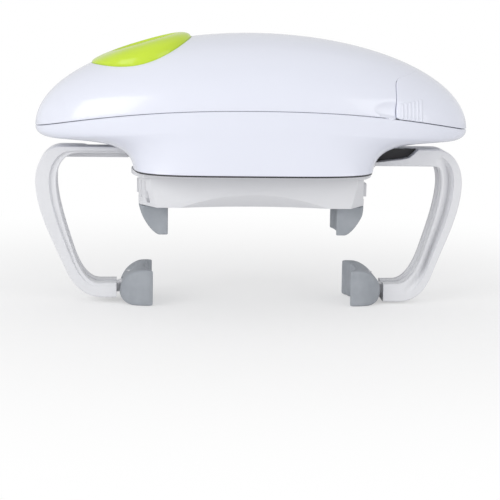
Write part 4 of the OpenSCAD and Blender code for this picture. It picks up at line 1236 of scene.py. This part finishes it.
def scoop():
    """A lying drum, tipped by 45 degrees into the lower front edge."""
    radius = ((scoop_chord / 2) ** 2 + scoop_rise ** 2) / 2 / scoop_rise
    a = np.linspace(0, 2 * math.pi, 241)[:-1]
    outline = list(zip(radius * np.cos(a), radius * np.sin(a) - radius))
    points, faces = prism(outline, -30, 30, True)
    c = math.cos(math.radians(-45))
    return [(x, scoop_y + c * y + c * z, scoop_z - c * y + c * z) for x, y, z in points], faces


def carrier_cutters():
    """The long channel, what both ends share, and the screws' holes."""
    parts = [scoop(), corner_wedge(1), corner_wedge(-1),
             box((-59, -4.2, slide_channel), (-49, 12.8, 64.7)),
             box((-59, -6.5, pinion_channel), (-12, 6.5, 58.4)),
             box((-59, -15.4, 55.3), (-53.6, -11.4, 63.7)),
             box((-59, -20.4, 55.0), (-51.6, -17.6, 63.9)), nick()]
    parts += [box((end * 35 - 17, 14.8, 60.4), (end * 35 + 17, 23.6, 80.4)) for end in (-1, 1)]
    cutters = [prism(bar(55.6, 12.8), slide_channel, 73.9)]
    for part in parts:
        cutters += both_ends(part)
    return cutters + [rod(1.5, 58.3, 70.3, (x, y)) for x in (-34, 34) for y in (-19, 19)]


carrier = carved("turning_carrier", prism(bar(58, 26), carrier_low, carrier_high),
                 carrier_cutters())
dress(rounded(carrier, 0.3), "turntable", "grey_plastic", ["jaw_carrier"])

# %% [markdown]
# ## Rubber
#
# Moulded rubber has no sharp edge anywhere. Each block is carved as the mould would be, then
# remeshed into small even cells and smoothed, which rounds every edge a little and blurs the
# ribs the way soft rubber does. Nothing here is a cushion, so no cloth is needed. A pad and a jaw
# are drawn once, and their copies are turned half round.

# %% Softening rubber
def rubber(made, cell, rounds, body, nodes):
    """Remeshes a carved block and rounds it."""
    cells = made.modifiers.new("cells", "REMESH")
    cells.mode, cells.voxel_size = "VOXEL", cell * MM
    ease = made.modifiers.new("ease", "SMOOTH")
    ease.factor, ease.iterations = 0.5, rounds
    return dress(settled(made), body, "grey_rubber", nodes, 60)


def turned_copy(made, name, body, nodes):
    """The same piece turned half round, for the other side."""
    twin = bpy.data.objects.new(name, made.data.copy())
    bpy.context.scene.collection.objects.link(twin)
    twin.data.transform(Quaternion((0, 0, 1), math.pi).to_matrix().to_4x4())
    return dress(twin, body, "grey_rubber", nodes, 60)


print("rubber can be softened")

# %% The jar pads
grip_x, grip_r, grip_half, groove_deep = 53.9, 44.4, 17.9, 0.8
pad_high, pad_half = 18.5, 18.5


def grip_face():
    """The pad's gripping face in plan: an arc with shallow grooves."""
    edge = math.asin(grip_half / grip_r)
    face = []
    for i in range(57):
        a = edge - 2 * edge * i / 56
        radius = grip_r + (groove_deep if i % 8 > 5 else 0)
        face.append((grip_x - grip_r + radius * math.cos(a), radius * math.sin(a)))
    return face


def points_of(*curves):
    """Curves as (x, z) pairs, each after the first without its first point."""
    return [tuple(p) for k, curve in enumerate(curves) for p in curve[min(k, 1):]]


pad_back = points_of(bezier((54, -pad_half), (61, -pad_half), (67.6, -12.5), (68, -5), 14))
pad_plan = grip_face() + [(50, -pad_half)] + pad_back
pad_plan += [(x, -y) for x, y in pad_back[::-1]] + [(50, pad_half)]
pad_side = [(49, -1)] + points_of(
    bezier((57, -0.4), (63, -0.4), (67.2, 1.5), (67.2, 6.5), 12),
    bezier((67.2, 6.5), (67.2, 12.2), (62, 18.2), (54, 18.9), 14)) + [(49, 19.5)]
pocket = [(pad_pin_x + 5.4 * math.cos(math.radians(a)), 5.4 * math.sin(math.radians(a)))
          for a in range(90, 271, 10)] + [(66, -6.6), (76, -8.8), (76, 8.8), (66, 6.6)]
pad = carved("right_rubber_pad", prism(pad_plan, 0, pad_high), [prism(pad_side, -30, 30, True)],
             "INTERSECT")
cut_with(pad, [prism(pocket, 4.8, 11.0), rod(1.5, 1.5, 31.5, (pad_pin_x, 0))])
rubber(pad, 0.5, 44, "right_pad", ["right_jar_pad"])
turned_copy(pad, "left_rubber_pad", "left_pad", ["left_jar_pad"])

# %% The lid jaws
jaw_face_x, jaw_tip_z, jaw_top, jaw_half = 42.5, 36.2, 51.0, 15
bite_r, bite_x = 62, 17.5              # the arc that grips: its radius and its middle
jaw_rib_angle, jaw_rib_r, carrier_round = 2.6, 0.7, 57.9


def jaw_block():
    """The jaw's side view drawn across its width."""
    x = -jaw_face_x
    curve = bezier((x - 15.2, jaw_top), (x - 13.6, jaw_top - 6), (x - 9, jaw_tip_z + 1.5),
                   (x - 5, jaw_tip_z), 18)
    outline = [(x, jaw_top)] + points_of(curve) + [(x, jaw_tip_z)]
    return prism(outline, -jaw_half, jaw_half, True)


jaw = carved("left_rubber_jaw", jaw_block(), [rod(carrier_round, 30, 60, count=180)],
             "INTERSECT")
jaw_cuts = [rod(bite_r, 30, 60, (bite_x, 0), 240), box((-55, -6, 43.2), (-46, 6, 63.2))]
for k in range(-4, 5):
    a = math.radians(180 + jaw_rib_angle * k)
    place = (bite_x + bite_r * math.cos(a), bite_r * math.sin(a))
    jaw_cuts.append(rod(jaw_rib_r, 30, 60, place, 16))
cut_with(jaw, jaw_cuts)
rubber(jaw, 0.35, 8, "left_jaw", ["left_lid_jaw"])
turned_copy(jaw, "right_rubber_jaw", "right_jaw", ["right_lid_jaw"])

# %% [markdown]
# ## A floor, lamps and the camera
#
# The floor and the air behind it are pale. Big soft lamps stand in front on both sides and a
# weaker one hangs above, so the crown's top is a shade darker than its sides, as in the photo.

# %% Studio
floor_reach = 6.0
fade_near, fade_far, fade_least = 0.03, 0.36, 0.45   # two distances in metres, and a share


def studio_floor():
    """A pale floor that fades to white paper for the camera and keeps the object's shadow."""
    mesh = bpy.data.meshes.new("studio_floor")
    r = floor_reach
    mesh.from_pydata([(-r, -r, 0), (r, -r, 0), (r, r, 0), (-r, r, 0)], [], [[0, 1, 2, 3]])
    floor = bpy.data.objects.new("studio_floor", mesh)
    bpy.context.scene.collection.objects.link(floor)
    finish = Finish("pale_floor", Roughness=0.7, Specular_IOR_Level=0.1)
    haze = finish.grain(60)
    finish.paint(Base_Color=finish.blend(haze, (0.93, 0.93, 0.935), (0.945, 0.945, 0.95)))
    tree = finish.tree
    away = make(tree, "VectorMath", {"operation": "LENGTH"}, {0: finish.place}, "Value")
    fade = make(tree, "MapRange", {"interpolation_type": "SMOOTHSTEP"},
                {"Value": away, "From Min": fade_near, "From Max": fade_far,
                 "To Min": fade_least, "To Max": 1.0})
    seen = make(tree, "LightPath", out="Is Camera Ray")
    paper = make(tree, "Emission", None, {"Color": (1, 1, 1, 1), "Strength": 1.0})
    mixed = make(tree, "MixShader", None,
                 {0: fade * seen, 1: Field(finish.shader.outputs[0]), 2: paper})
    end = next(n for n in tree.nodes if n.type == "OUTPUT_MATERIAL")
    tree.links.new(mixed.socket, end.inputs[0])
    mesh.materials.append(finish.material)
    return floor


def soft_lamp(name, place, aim_z, size, watts):
    """A rectangular lamp that shines at a point over the middle of the floor."""
    lamp = bpy.data.lights.new(name, "AREA")
    lamp.shape = "RECTANGLE"
    lamp.size, lamp.size_y = size
    lamp.energy = watts
    holder = bpy.data.objects.new(name, lamp)
    bpy.context.scene.collection.objects.link(holder)
    holder.location = place
    way = Vector((0, 0, aim_z)) - Vector(place)
    holder.rotation_euler = way.to_track_quat("-Z", "Y").to_euler()
    return holder


def studio_air():
    """Plain light from all round, white where the camera or a reflection sees it."""
    world = bpy.data.worlds.new("studio_air")
    bpy.context.scene.world = world
    world.use_nodes = True
    tree = world.node_tree
    tree.nodes.clear()
    seen = make(tree, "LightPath", out="Is Camera Ray")
    glossy = make(tree, "LightPath", out="Is Glossy Ray")
    through = make(tree, "LightPath", out="Is Transmission Ray")
    white = 0.6 + 0.4 * seen + 0.2 * glossy + 0.2 * through
    sky = make(tree, "Background", None, {"Color": (1, 1, 1, 1), "Strength": white})
    output = tree.nodes.new("ShaderNodeOutputWorld")
    tree.links.new(sky.socket, output.inputs[0])


studio_floor()
studio_air()
soft_lamp("left_softbox", (-1.08, -0.95, 0.52), 0.09, (1.0, 0.9), 9.1)
soft_lamp("right_softbox", (1.05, -0.98, 0.44), 0.09, (0.9, 0.8), 4.3)
soft_lamp("top_softbox", (0, 0.3, 1.5), 0.1, (1.4, 1.0), 0.9)

# %% [markdown]
# The camera stands 0.9 m in front, a little above the crown and a little to the left. Its height
# and pitch were fitted to the crown's outline and to how flat level circles look in the photo.

# %% Camera
camera_data = bpy.data.cameras.new("camera")
camera_data.lens = 126.9
camera_data.sensor_width = 36
camera = bpy.data.objects.new("camera", camera_data)
bpy.context.scene.collection.objects.link(camera)
azimuth, distance, height = math.radians(-4), 0.9, 0.1664
pitch, roll = math.radians(8.85), math.radians(0.9)
camera.location = (distance * math.sin(azimuth), -distance * math.cos(azimuth), height)
look = Vector((-math.sin(azimuth) * math.cos(pitch), math.cos(azimuth) * math.cos(pitch),
               -math.sin(pitch)))
turn = look.to_track_quat("-Z", "Y")
camera.rotation_mode = "QUATERNION"
camera.rotation_quaternion = Quaternion(look, -roll) @ turn
bpy.context.scene.camera = camera
view = bpy.context.scene.view_settings
view.view_transform = "Standard"
print("camera at", [round(c, 3) for c in camera.location])

# %% [markdown]
# The gears, pins, screws, springs and cells stay as the model has them. Each takes the finish
# that its slot in the record names.

# %% Finish of the model's own parts
for part in frame["record"]["subparts"]:
    node = frame["nodes"][part["node"]]
    node.data.materials.clear()
    node.data.materials.append(finishes[part["material_slot"]])
